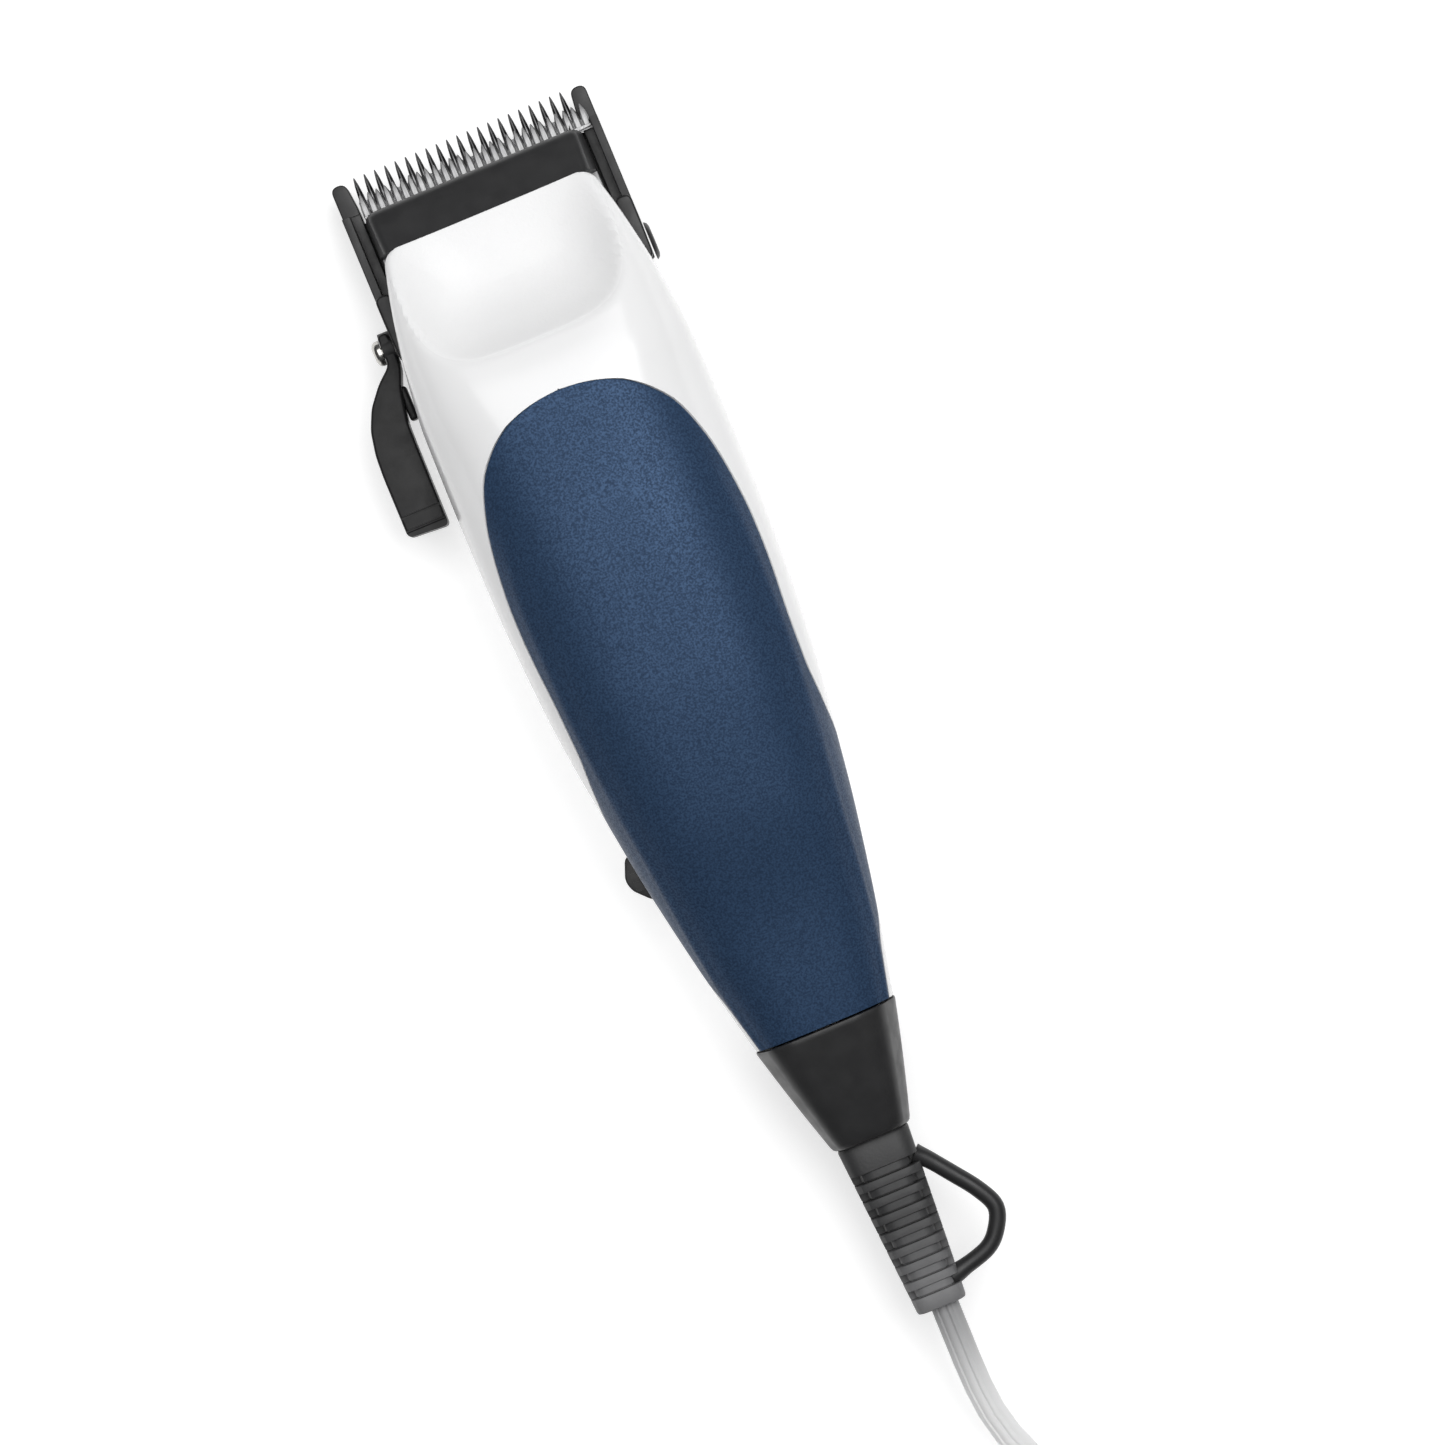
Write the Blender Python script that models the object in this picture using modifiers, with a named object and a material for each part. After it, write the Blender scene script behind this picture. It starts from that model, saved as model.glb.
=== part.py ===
"""A corded hair clipper, built as it comes apart on a bench.

Sizes in this file are millimetres; every mesh is scaled to metres when it is made.
+X is the clipper's right, +Y points at the cutting teeth, +Z is up from the flat belly,
and the origin is the middle of the belly where the clipper rests.
"""

import bisect
import math

import bmesh
import bpy
from mathutils import Matrix, Vector

METRE = 0.001
GAP = 0.3

# Housing
BODY_TAIL = -74.5
BODY_FRONT = 71.4
WALL = 2.4
INLAY_THICKNESS = 1.0
UPPER_ROUNDNESS = [(-74.5, 2.8), (30.0, 2.9), (45.0, 3.6), (60.0, 5.5), (71.4, 6.5)]
LOWER_ROUNDNESS = 3.5
HALF_WIDTH = [
    (-74.5, 12.4), (-60.0, 15.6), (-50.0, 17.5), (-40.0, 19.2), (-30.0, 20.6), (-20.0, 22.0),
    (-10.0, 23.0), (0.0, 23.6), (10.0, 24.0), (25.0, 24.1), (40.0, 23.9), (51.0, 22.8),
    (62.0, 20.9), (66.0, 20.0), (71.4, 18.6),
]
CROWN = [
    (-74.5, 27.0), (-55.0, 31.0), (-35.0, 37.0), (-10.0, 41.0), (15.0, 42.5), (38.0, 40.5),
    (47.4, 38.0), (60.0, 32.5), (71.4, 27.5),
]
KEEL = [
    (-74.5, 5.0), (-55.0, 2.6), (-40.0, 0.9), (-25.0, -0.35), (45.0, -0.35), (52.0, 1.6),
    (62.0, 6.0), (71.4, 9.0),
]
PARTING = [(-74.5, 16.0), (-30.0, 18.0), (0.0, 19.0), (45.0, 19.0), (71.4, 17.5)]
# Distance between the side of the body and the edge of the grip inlay, seen from above
INLAY_MARGIN = [
    (-74.5, 0.8), (-66.0, 0.6), (-60.0, 0.08), (-31.0, 0.08), (-25.0, 0.9), (-17.0, 2.1),
    (-8.0, 2.5), (0.0, 2.4), (8.0, 2.65), (15.0, 3.25), (21.0, 4.2), (25.5, 5.45),
    (29.5, 7.05), (33.2, 10.0), (36.2, 13.9), (37.6, 17.0),
]
INLAY_LOWEST = math.radians(8)
SCOOP_HALF_WIDTH = 19.6
SCOOP_LENGTH = 24.6
SCOOP_FLOOR = 24.0
SCOOP_LIP = 1.2

# Blade set
COMB_TEETH = 21
COMB_PITCH = 1.88
COMB_TIP = 86.8
COMB_ROOT = 80.6
COMB_BACK = 62.0
COMB_LOW = 7.1
COMB_HIGH = 9.4
CUTTER_TEETH = 28
CUTTER_PITCH = 1.48
CUTTER_TIP = 83.5
CUTTER_ROOT = 80.3
CUTTER_BACK = 64.0
CUTTER_LOW = 9.7
CUTTER_HIGH = 11.3
CUTTER_OFFSET = 1.1
BLADE_SCREW_X = 11.0
BLADE_SCREW_Y = 66.0
FRAME_FLOOR = 5.2
FRAME_DECK = 6.8
FRAME_SIDE = 23.0

# Taper lever and its shaft
LEVER_Y = 57.6
LEVER_Z = 10.5
ECCENTRIC = 3.0
LEVER_SWING = math.radians(45)
SHAFT_RADIUS = 2.0
PIN_RADIUS = 1.2
PIN_X = (7.4, 16.6)

# Drive
DRIVE_PIVOT = (9.0, -8.0)
STATOR_LOW = 11.0
STATOR_HIGH = 25.0
ARM_LOW = 13.4
ARM_HIGH = 18.4
FINGER_Y = 69.0

# Power controls
SWITCH_Y = (-45.2, -30.2)
SWITCH_Z = (9.3, 14.7)
POWER_SCREW = (20.0, 12.0)

# Tail, cord and plug
CAP_TAIL = -95.2
BOOT_TAIL = -125.8
BOOT_Z = (15.0, 14.0)
CORD_RADIUS = 2.4
COIL_CENTRE = (-20.0, -196.0)
COIL_RADIUS = 28.8
COIL_HALF_WIDTH = 9.6
COIL_HEIGHT = 14.4
CORD_ROUTE = [
    (0.4, -126.1, 14.0), (0.35, -131.0, 13.6), (0.3, -136.0, 12.5), (0.35, -141.0, 10.8),
    (0.75, -146.0, 8.8), (1.8, -151.0, 6.8), (3.6, -156.0, 5.1), (5.9, -161.0, 3.7),
    (8.4, -166.0, 2.8),
]
TAIL_ROUTE = [
    (-36.9, -219.3, 17.3), (-40.1, -216.4, 18.9), (-43.1, -213.0, 20.3), (-45.4, -209.3, 21.1),
    (-47.2, -205.5, 21.5), (-47.6, -201.6, 21.6),
]
PLUG_X = -47.6
PLUG_Y = (-201.2, -175.0)
PLUG_Z = (14.8, 28.4)


# ---------------------------------------------------------------- scene and materials

def clear_scene():
    for obj in list(bpy.data.objects):
        bpy.data.objects.remove(obj, do_unlink=True)


def make_collection(name):
    collection = bpy.data.collections.new(name)
    bpy.context.scene.collection.children.link(collection)
    return collection


def make_material(name, colour, roughness, metallic=0.0):
    material = bpy.data.materials.new(name)
    material.use_nodes = True
    shader = material.node_tree.nodes["Principled BSDF"]
    shader.inputs["Base Color"].default_value = (*colour, 1.0)
    shader.inputs["Roughness"].default_value = roughness
    shader.inputs["Metallic"].default_value = metallic
    return material


clear_scene()
PARTS = make_collection("hair_clipper")
CUTTERS = make_collection("cutters")
WHITE = make_material("white_plastic", (0.86, 0.86, 0.87), 0.2)
BLUE = make_material("blue_inlay", (0.03, 0.08, 0.19), 0.4)
BLACK = make_material("black_plastic", (0.015, 0.015, 0.016), 0.4)
RUBBER = make_material("grey_rubber", (0.07, 0.07, 0.075), 0.7)
CORD = make_material("cord_sheath", (0.3, 0.3, 0.31), 0.6)
STEEL = make_material("blade_steel", (0.6, 0.6, 0.6), 0.3, 1.0)
LAMINATED = make_material("laminated_steel", (0.2, 0.2, 0.22), 0.5, 0.8)
COPPER = make_material("copper_wire", (0.6, 0.24, 0.1), 0.35, 1.0)
BRASS = make_material("plated_brass", (0.75, 0.6, 0.3), 0.3, 1.0)
NYLON = make_material("natural_nylon", (0.65, 0.62, 0.55), 0.5)


# ---------------------------------------------------------------- building blocks

def place(name, mesh, material, collection=None):
    obj = bpy.data.objects.new(name, mesh)
    (collection or PARTS).objects.link(obj)
    if material:
        mesh.materials.append(material)
    if collection is CUTTERS:
        obj.hide_render = True
        obj.display_type = "WIRE"
    return obj


def from_bmesh(name, bm, material, collection=None):
    mesh = bpy.data.meshes.new(name)
    bmesh.ops.scale(bm, vec=(METRE, METRE, METRE), verts=bm.verts)
    bm.to_mesh(mesh)
    bm.free()
    return place(name, mesh, material, collection)


def box(name, low, high, material=None, collection=None, rounding=0.0):
    bm = bmesh.new()
    bmesh.ops.create_cube(bm, size=1.0)
    size = [b - a for a, b in zip(low, high)]
    middle = [(a + b) / 2 for a, b in zip(low, high)]
    bmesh.ops.scale(bm, vec=size, verts=bm.verts)
    bmesh.ops.translate(bm, vec=middle, verts=bm.verts)
    obj = from_bmesh(name, bm, material, collection)
    if rounding:
        round_edges(obj, rounding)
    return obj


def rod(name, start, end, radius, material=None, collection=None, sides=20):
    start, end = Vector(start), Vector(end)
    turn = Vector((0, 0, 1)).rotation_difference(end - start).to_matrix().to_4x4()
    matrix = Matrix.Translation((start + end) / 2) @ turn
    bm = bmesh.new()
    bmesh.ops.create_cone(
        bm, cap_ends=True, segments=sides, radius1=radius, radius2=radius,
        depth=(end - start).length, matrix=matrix,
    )
    obj = from_bmesh(name, bm, material, collection)
    smooth(obj)
    return obj


def smooth(obj, angle=35):
    obj.data.shade_smooth()
    obj.data.set_sharp_from_angle(angle=math.radians(angle))


def round_edges(obj, width, segments=2):
    bevel = obj.modifiers.new("rounding", "BEVEL")
    bevel.width = width * METRE
    bevel.segments = segments
    bevel.limit_method = "ANGLE"


def turned(name, profile, base, direction, material, sides=20):
    """A piece turned about an axis, from (radius, height) pairs listed from its top down."""
    mesh = bpy.data.meshes.new(name)
    points = [(radius * METRE, 0.0, height * METRE) for radius, height in profile]
    edges = [(i, i + 1) for i in range(len(points) - 1)]
    mesh.from_pydata(points, edges, [])
    obj = place(name, mesh, material)
    obj.location = Vector(base) * METRE
    obj.rotation_mode = "QUATERNION"
    obj.rotation_quaternion = Vector((0, 0, 1)).rotation_difference(Vector(direction))
    screw = obj.modifiers.new("turn", "SCREW")
    screw.steps = sides
    screw.render_steps = sides
    screw.use_merge_vertices = True
    screw.merge_threshold = 0.00001
    screw.use_smooth_shade = True
    return obj


def machine_screw(name, seat, direction, head_radius, length, material=STEEL, shank=1.2):
    """A pan-head screw whose head stands on `seat` and whose shank runs along `direction`."""
    profile = [
        (0.0, 1.5), (head_radius - 0.4, 1.5), (head_radius, 1.0), (head_radius, 0.0),
        (shank, 0.0), (shank, -length), (0.0, -length),
    ]
    back = [-part for part in direction]
    return turned(name, profile, seat, back, material, sides=16)


def to_mesh(curve_object, material, collection=None):
    """The curve's shape as a closed mesh object of the same name."""
    bpy.context.view_layer.update()
    graph = bpy.context.evaluated_depsgraph_get()
    mesh = bpy.data.meshes.new_from_object(curve_object.evaluated_get(graph))
    bm = bmesh.new()
    bm.from_mesh(mesh)
    bmesh.ops.remove_doubles(bm, verts=bm.verts, dist=0.000001)
    bm.to_mesh(mesh)
    bm.free()
    name = curve_object.name
    matrix = curve_object.matrix_world.copy()
    bpy.data.objects.remove(curve_object, do_unlink=True)
    mesh.materials.clear()
    obj = place(name, mesh, material, collection)
    obj.matrix_world = matrix
    return obj


def plate(name, outlines, low, high, material=None, collection=None):
    """A flat piece between heights low and high; a second outline inside the first is a hole."""
    curve = bpy.data.curves.new(name, "CURVE")
    curve.dimensions = "2D"
    curve.fill_mode = "BOTH"
    curve.extrude = (high - low) / 2 * METRE
    for outline in outlines:
        spline = curve.splines.new("POLY")
        spline.points.add(len(outline) - 1)
        for point, (x, y) in zip(spline.points, outline):
            point.co = (x * METRE, y * METRE, 0.0, 1.0)
        spline.use_cyclic_u = True
    obj = bpy.data.objects.new(name, curve)
    PARTS.objects.link(obj)
    obj.location.z = (low + high) / 2 * METRE
    return to_mesh(obj, material, collection)


def smooth_path(points, spacing):
    """Points on a smooth curve through the given ones, about `spacing` apart."""
    points = [Vector(point) for point in points]
    padded = [2 * points[0] - points[1], *points, 2 * points[-1] - points[-2]]
    path = []
    for before, a, b, after in zip(padded, padded[1:], padded[2:], padded[3:]):
        steps = max(1, round((b - a).length / spacing))
        for step in range(steps):
            t = step / steps
            bend = 2 * a + (b - before) * t + (2 * before - 5 * a + 4 * b - after) * t * t
            path.append((bend + (3 * a - before - 3 * b + after) * t ** 3) / 2)
    path.append(points[-1])
    return path


def tube(name, points, radius, material, collection=None):
    curve = bpy.data.curves.new(name, "CURVE")
    curve.dimensions = "3D"
    curve.bevel_depth = radius * METRE
    curve.bevel_resolution = 2
    curve.use_fill_caps = True
    spline = curve.splines.new("POLY")
    spline.points.add(len(points) - 1)
    for point, place_on_path in zip(spline.points, points):
        point.co = (*(Vector(place_on_path) * METRE), 1.0)
    obj = bpy.data.objects.new(name, curve)
    PARTS.objects.link(obj)
    obj = to_mesh(obj, material, collection)
    smooth(obj)
    return obj


def grid_surface(name, rows, material, collection=None, closed=False):
    """An open surface through rows of points that run from tail to head."""
    bm = bmesh.new()
    made = [[bm.verts.new(point) for point in row] for row in rows]
    columns = len(rows[0])
    spans = range(columns if closed else columns - 1)
    for near, far in zip(made, made[1:]):
        for i in spans:
            j = (i + 1) % columns
            bm.faces.new((near[i], far[i], far[j], near[j]))
    obj = from_bmesh(name, bm, material, collection)
    smooth(obj)
    return obj


def thicken(obj, thickness, outside=0.0):
    """Gives an open surface a wall, of which `outside` lies beyond the surface."""
    shell = obj.modifiers.new("wall", "SOLIDIFY")
    shell.thickness = thickness * METRE
    shell.offset = 2 * outside / thickness - 1
    shell.use_even_offset = True


def solid_loft(name, rings, material):
    """A closed solid through rings of points that run from tail to head."""
    bm = bmesh.new()
    made = [[bm.verts.new(point) for point in ring] for ring in rings]
    count = len(rings[0])
    for near, far in zip(made, made[1:]):
        for i in range(count):
            j = (i + 1) % count
            bm.faces.new((near[i], far[i], far[j], near[j]))
    bm.faces.new(made[0])
    bm.faces.new(list(reversed(made[-1])))
    obj = from_bmesh(name, bm, material)
    smooth(obj)
    return obj


def combine(target, tool, operation, solver="EXACT"):
    """A Boolean with a tool that then counts as a helper."""
    if tool.name not in CUTTERS.objects:
        CUTTERS.objects.link(tool)
        PARTS.objects.unlink(tool)
    tool.hide_render = True
    tool.display_type = "WIRE"
    modifier = target.modifiers.new(operation.lower(), "BOOLEAN")
    modifier.operation = operation
    modifier.object = tool
    modifier.solver = solver


def cut(target, tool, solver="EXACT"):
    combine(target, tool, "DIFFERENCE", solver)


def join(target, tool):
    combine(target, tool, "UNION")


def between(stations, y):
    """Value at y on a smooth curve through (y, value) stations that never overshoots them."""
    ys = [station[0] for station in stations]
    values = [station[1] for station in stations]
    i = min(max(bisect.bisect_right(ys, y) - 1, 0), len(ys) - 2)
    slopes = [
        (values[k + 1] - values[k]) / (ys[k + 1] - ys[k]) for k in range(len(ys) - 1)
    ]

    def tangent(k):
        if k == 0 or k == len(ys) - 1:
            return slopes[min(k, len(slopes) - 1)]
        if slopes[k - 1] * slopes[k] <= 0:
            return 0.0
        return 2 * slopes[k - 1] * slopes[k] / (slopes[k - 1] + slopes[k])

    span = ys[i + 1] - ys[i]
    t = min(max((y - ys[i]) / span, 0.0), 1.0)
    rise = values[i + 1] - values[i]
    start, end = tangent(i) * span, tangent(i + 1) * span
    return values[i] + t * (start + t * (3 * rise - 2 * start - end + t * (start + end - 2 * rise)))


# ---------------------------------------------------------------- body surface

def superellipse(angle, width, height, roundness):
    """Point at a polar angle on a superellipse."""
    across = abs(math.cos(angle) / width) ** roundness
    up = abs(math.sin(angle) / height) ** roundness
    reach = (across + up) ** (-1 / roundness)
    return reach * math.cos(angle), reach * math.sin(angle)


def scoop_height(x, y):
    """Floor of the thumb scoop behind the nose, which climbs to its rim."""
    back = max(BODY_FRONT + 0.6 - y, 0.0) / SCOOP_LENGTH
    rim = ((x / SCOOP_HALF_WIDTH) ** 4 + back ** 4) ** 0.25
    return SCOOP_FLOOR + (1.5 + 13.0 * back) * rim ** 3


def soft_min(a, b, rounding):
    """The lower of two heights, with the edge between them rounded off."""
    near = max(rounding - abs(a - b), 0.0) / rounding
    return min(a, b) - rounding * near ** 2 / 4


def body_point(y, angle, inset=0.0):
    """Outside of the body at one station; angle 0 is the right side and 90 degrees the crown."""
    width = between(HALF_WIDTH, y) - inset
    middle = between(PARTING, y)
    if math.sin(angle) >= 0:
        height = between(CROWN, y) - inset - middle
        x, z = superellipse(angle, width, height, between(UPPER_ROUNDNESS, y))
        z = soft_min(middle + z, scoop_height(x, y) - inset, SCOOP_LIP)
    else:
        height = middle - between(KEEL, y) - inset
        x, z = superellipse(angle, width, height, LOWER_ROUNDNESS)
        z = max(middle + z, inset)
    return x, y, z


def angle_at(y, x, inset=0.0):
    """Polar angle of the upper surface over a given x."""
    width = between(HALF_WIDTH, y) - inset
    height = between(CROWN, y) - inset - between(PARTING, y)
    roundness = between(UPPER_ROUNDNESS, y)
    rise = height * (1 - min(x / width, 1.0) ** roundness) ** (1 / roundness)
    return math.atan2(rise, x)


def spread(start, end, count):
    return [start + (end - start) * i / (count - 1) for i in range(count)]


def body_rows(stations, start, end, columns):
    angles = spread(math.radians(start), math.radians(end), columns)
    return [[body_point(y, angle) for angle in angles] for y in stations]


REAR_STATIONS = [-74.5, -66, -57, -48, -39, -30, -21, -12, 0, 12, 24, 34]
LOWER_STATIONS = REAR_STATIONS + [41, 45, 47.5, 50, 53, 57, 62, 67, 71.4]
UPPER_STATIONS = REAR_STATIONS + [40, 44, 46, 47.5, 49, 50.5, 52.5, 55, 58, 61.5, 65, 68.5, 71.4]


def inlay_rows(grow=0.0):
    """Rows of the body's surface under the grip inlay, grown all round."""
    ys = [-74.5 - grow, -66, -57, -48, -39, -31, -25, -17, -8, 2, 12, 20, 26, 30, 33.2, 35.6]
    ys = ys + [37.6 + grow]
    rows = []
    for y in ys:
        side = between(HALF_WIDTH, y)
        edge = side - between(INLAY_MARGIN, y)
        right = max(angle_at(y, edge), INLAY_LOWEST) - 1.3 * grow / side
        rows.append([body_point(y, angle) for angle in spread(right, math.pi - right, 15)])
    return rows


# ---------------------------------------------------------------- housings

def housing_boss(x, y):
    """A screw post hanging from the inside of the upper housing."""
    top = body_point(y, angle_at(y, abs(x)))[2] - 1.6
    return rod("boss", (x, y, 17.4), (x, y, top), 2.4, collection=CUTTERS, sides=12)


HOUSING_SCREWS = {
    "housing_screw_front_left": (-16.0, 46.0),
    "housing_screw_front_right": (16.0, 46.0),
    "housing_screw_rear_left": (-9.0, -54.0),
    "housing_screw_rear_right": (9.0, -54.0),
}


def upper_housing():
    seam = math.degrees(GAP / 2 / between(HALF_WIDTH, 0))
    shell = grid_surface("upper_housing", body_rows(UPPER_STATIONS, seam, 180 - seam, 41), WHITE)
    thicken(shell, WALL)
    for x, y in HOUSING_SCREWS.values():
        join(shell, housing_boss(x, y))
    recess = grid_surface("inlay_recess", inlay_rows(GAP), None, CUTTERS)
    thicken(recess, INLAY_THICKNESS + 2 * GAP + 1.0, outside=1.0)
    cut(shell, recess)
    return shell


def lower_housing():
    seam = math.degrees(GAP / 2 / between(HALF_WIDTH, 0))
    shell = grid_surface("lower_housing", body_rows(LOWER_STATIONS, -180 + seam, -seam, 21), WHITE)
    thicken(shell, WALL)
    bays = [
        box("blade_bay", (-26, 49.8, -2), (26, 73, 9.9), collection=CUTTERS),
        box("drive_bay", (-17, 51, -3), (17, 74, 14), collection=CUTTERS),
    ]
    for side in (-1, 1):
        inner, outer = sorted((side * 19.8, side * 26))
        bays.append(box("arm_bay", (inner, 52.3, -4), (outer, 75, 15.9), collection=CUTTERS))
        inner, outer = sorted((side * 14, side * 21))
        bays.append(box("bearing_pocket", (inner, 53.2, 5), (outer, 62, 15.7), collection=CUTTERS))
    for bay in bays:
        cut(shell, bay, "MANIFOLD")
    slot_low = (-26, SWITCH_Y[0], SWITCH_Z[0])
    slot_high = (-14, SWITCH_Y[1], SWITCH_Z[1])
    cut(shell, box("switch_slot", slot_low, slot_high, collection=CUTTERS))
    y, z = POWER_SCREW
    cut(shell, rod("power_hole", (15, y, z), (30, y, z), 3.4, collection=CUTTERS))
    for x, y in HOUSING_SCREWS.values():
        cut(shell, rod("screw_hole", (x, y, -5), (x, y, 9), 2.8, collection=CUTTERS, sides=16))
    for y in (2.0, 34.0):
        join(shell, rod("post", (-16.5, y, 2.9), (-16.5, y, 10.6), 2.6, collection=CUTTERS, sides=12))
    return shell


def grip_inlay():
    skin = grid_surface("grip_inlay", inlay_rows(), BLUE)
    thicken(skin, INLAY_THICKNESS)
    return skin


def housing_screws():
    for name, (x, y) in HOUSING_SCREWS.items():
        machine_screw(name, (x, y, 4.4), (0, 0, 1), 2.4, 12.6)


def nose_cover():
    """The black panel over the blades: a sloping lid with a tongue under the upper housing."""
    front, back, top, bottom = 79.5, BODY_FRONT + GAP, 21.2, 12.0
    rows = nose_rows(front, back, top, bottom, 0.0)
    cover = solid_loft("nose_cover", rows, BLACK)
    hollow = solid_loft("nose_hollow", nose_rows(front, back - 2, top, bottom - 2, 1.8), None)
    cut(cover, hollow)
    tongue = box("tongue", (-15.5, 66.0, 19.4), (15.5, back + 1.0, 21.0), collection=CUTTERS)
    join(cover, tongue)
    return cover


def nose_rows(front, back, top, bottom, inset):
    """Inverted U sections of the nose: its lid drops 4 mm towards the teeth."""
    rows = []
    half = 19.7 - inset
    for y, drop in ((back, 0.0), (back + 3.0, 1.2), (front - 1.6 - inset, 3.6), (front - inset, 5.2)):
        lid = top - drop - inset
        corner = 2.4
        arc = []
        for step in range(4):
            turn = math.radians(90 * step / 3)
            arc.append((half - corner + corner * math.cos(turn), lid - corner + corner * math.sin(turn)))
        right = [(half, bottom), *arc]
        left = [(-x, z) for x, z in reversed(right)]
        rows.append([(x, y, z) for x, z in right + left])
    return rows


# ---------------------------------------------------------------- blade set

def tooth_edge(count, pitch, tip, root, tip_share, root_share, shift=0.0):
    """Points along a row of teeth from right to left."""
    points = []
    for i in range(count):
        middle = shift + pitch * ((count - 1) / 2 - i)
        points.append((middle + pitch * root_share / 2, root))
        points.append((middle + pitch * tip_share / 2, tip))
        points.append((middle - pitch * tip_share / 2, tip))
        points.append((middle - pitch * root_share / 2, root))
    return points


def circle(x, y, radius, sides=12):
    turns = [2 * math.pi * i / sides for i in range(sides)]
    return [(x + radius * math.cos(turn), y + radius * math.sin(turn)) for turn in turns]


def comb_blade():
    teeth = tooth_edge(COMB_TEETH, COMB_PITCH, COMB_TIP, COMB_ROOT, 0.16, 0.62)
    outline = [(19.6, COMB_BACK), (19.6, COMB_ROOT), *teeth, (-19.6, COMB_ROOT), (-19.6, COMB_BACK)]
    holes = [circle(side * BLADE_SCREW_X, BLADE_SCREW_Y, 1.6) for side in (-1, 1)]
    return plate("comb_blade", [outline, *holes], COMB_LOW, COMB_HIGH, STEEL)


def cutter_blade():
    shift = CUTTER_OFFSET
    teeth = tooth_edge(CUTTER_TEETH, CUTTER_PITCH, CUTTER_TIP, CUTTER_ROOT, 0.14, 0.86, shift)
    half = 20.6
    neck = 14.0
    outline = [
        (shift + neck, CUTTER_BACK), (shift + neck, 74.0), (shift + half, 76.0),
        (shift + half, CUTTER_ROOT), *teeth, (shift - half, CUTTER_ROOT), (shift - half, 76.0),
        (shift - neck, 74.0), (shift - neck, CUTTER_BACK),
    ]
    right, left = shift + 1.85, shift - 1.85
    slot = [(right, 66.9), (right, 71.1), (left, 71.1), (left, 66.9)]
    return plate("cutter_blade", [outline, slot], CUTTER_LOW, CUTTER_HIGH, STEEL)


def frame_arm(side):
    """One side of the blade frame: a ledge under the cutter, an outer wall and a shaft fork."""
    back, root, tip = 55.0, 80.6, 86.4
    inner, wall, outer = 20.0, 21.9, FRAME_SIDE
    ledge = [
        (inner, back), (outer - 0.7, back), (outer, 61.0), (outer, tip - 1.5), (outer - 1.5, tip),
        (inner + 0.5, tip), (inner, 81.7),
    ]
    arm = plate("arm", [[(side * x, y) for x, y in ledge][::side]], FRAME_FLOOR, 9.3, None, CUTTERS)
    rail = [(wall, back), (outer - 0.7, back), (outer, 61.0), (outer, root), (wall, root)]
    outline = [(side * x, y) for x, y in rail][::side]
    join(arm, plate("rail", [outline], 7.0, 13.0, None, CUTTERS))
    fork = [(inner + 0.3, back), (outer - 0.7, back), (outer, 61.0), (outer, 66.0), (inner + 0.3, 66.0)]
    outline = [(side * x, y) for x, y in fork][::side]
    join(arm, plate("fork", [outline], 7.0, 15.5, None, CUTTERS))
    inner_x, outer_x = sorted((side * 19, side * 25))
    slot_low = (inner_x, 50, LEVER_Z - SHAFT_RADIUS - GAP)
    slot_high = (outer_x, LEVER_Y + SHAFT_RADIUS + 2.8, LEVER_Z + SHAFT_RADIUS + GAP)
    cut(arm, box("fork_slot", slot_low, slot_high, collection=CUTTERS))
    return arm


def blade_frame():
    """The black carrier that the taper lever slides: a deck, two arms and a slotted pad."""
    deck = [(20.5, 52.6), (20.5, 79.4), (-20.5, 79.4), (-20.5, 52.6)]
    holes = [circle(side * BLADE_SCREW_X, BLADE_SCREW_Y, 1.6) for side in (-1, 1)]
    frame = plate("blade_frame", [deck, *holes], FRAME_FLOOR, FRAME_DECK, BLACK)
    join(frame, frame_arm(1))
    join(frame, frame_arm(-1))
    pin_y = LEVER_Y + ECCENTRIC * math.sin(LEVER_SWING / 2)
    join(frame, box("pad", (5.0, pin_y - 3.6, 5.8), (17.9, pin_y + 2.9, 8.1), collection=CUTTERS))
    half_slot = PIN_RADIUS + GAP
    slot_low = (PIN_X[0] - 0.4, pin_y - half_slot, 0)
    slot_high = (PIN_X[1] + 0.4, pin_y + half_slot, 12)
    cut(frame, box("pin_slot", slot_low, slot_high, collection=CUTTERS))
    return frame


def blade_screws():
    for name, side in (("blade_screw_left", -1), ("blade_screw_right", 1)):
        machine_screw(name, (side * BLADE_SCREW_X, BLADE_SCREW_Y, 4.9), (0, 0, 1), 2.6, 4.4)


def tension_spring():
    route = [(-9, 61.5, 16), (-9, 65, 12.6), (-9, 70, 12.3), (-8.4, 74.6, 12.3), (-7, 75.8, 12.3)]
    route = route + [(0, 76, 12.3)]
    mirrored = [(-x, y, z) for x, y, z in reversed(route[:-1])]
    return tube("tension_spring", smooth_path(route + mirrored, 2.5), 0.55, STEEL)


# ---------------------------------------------------------------- taper lever

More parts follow.
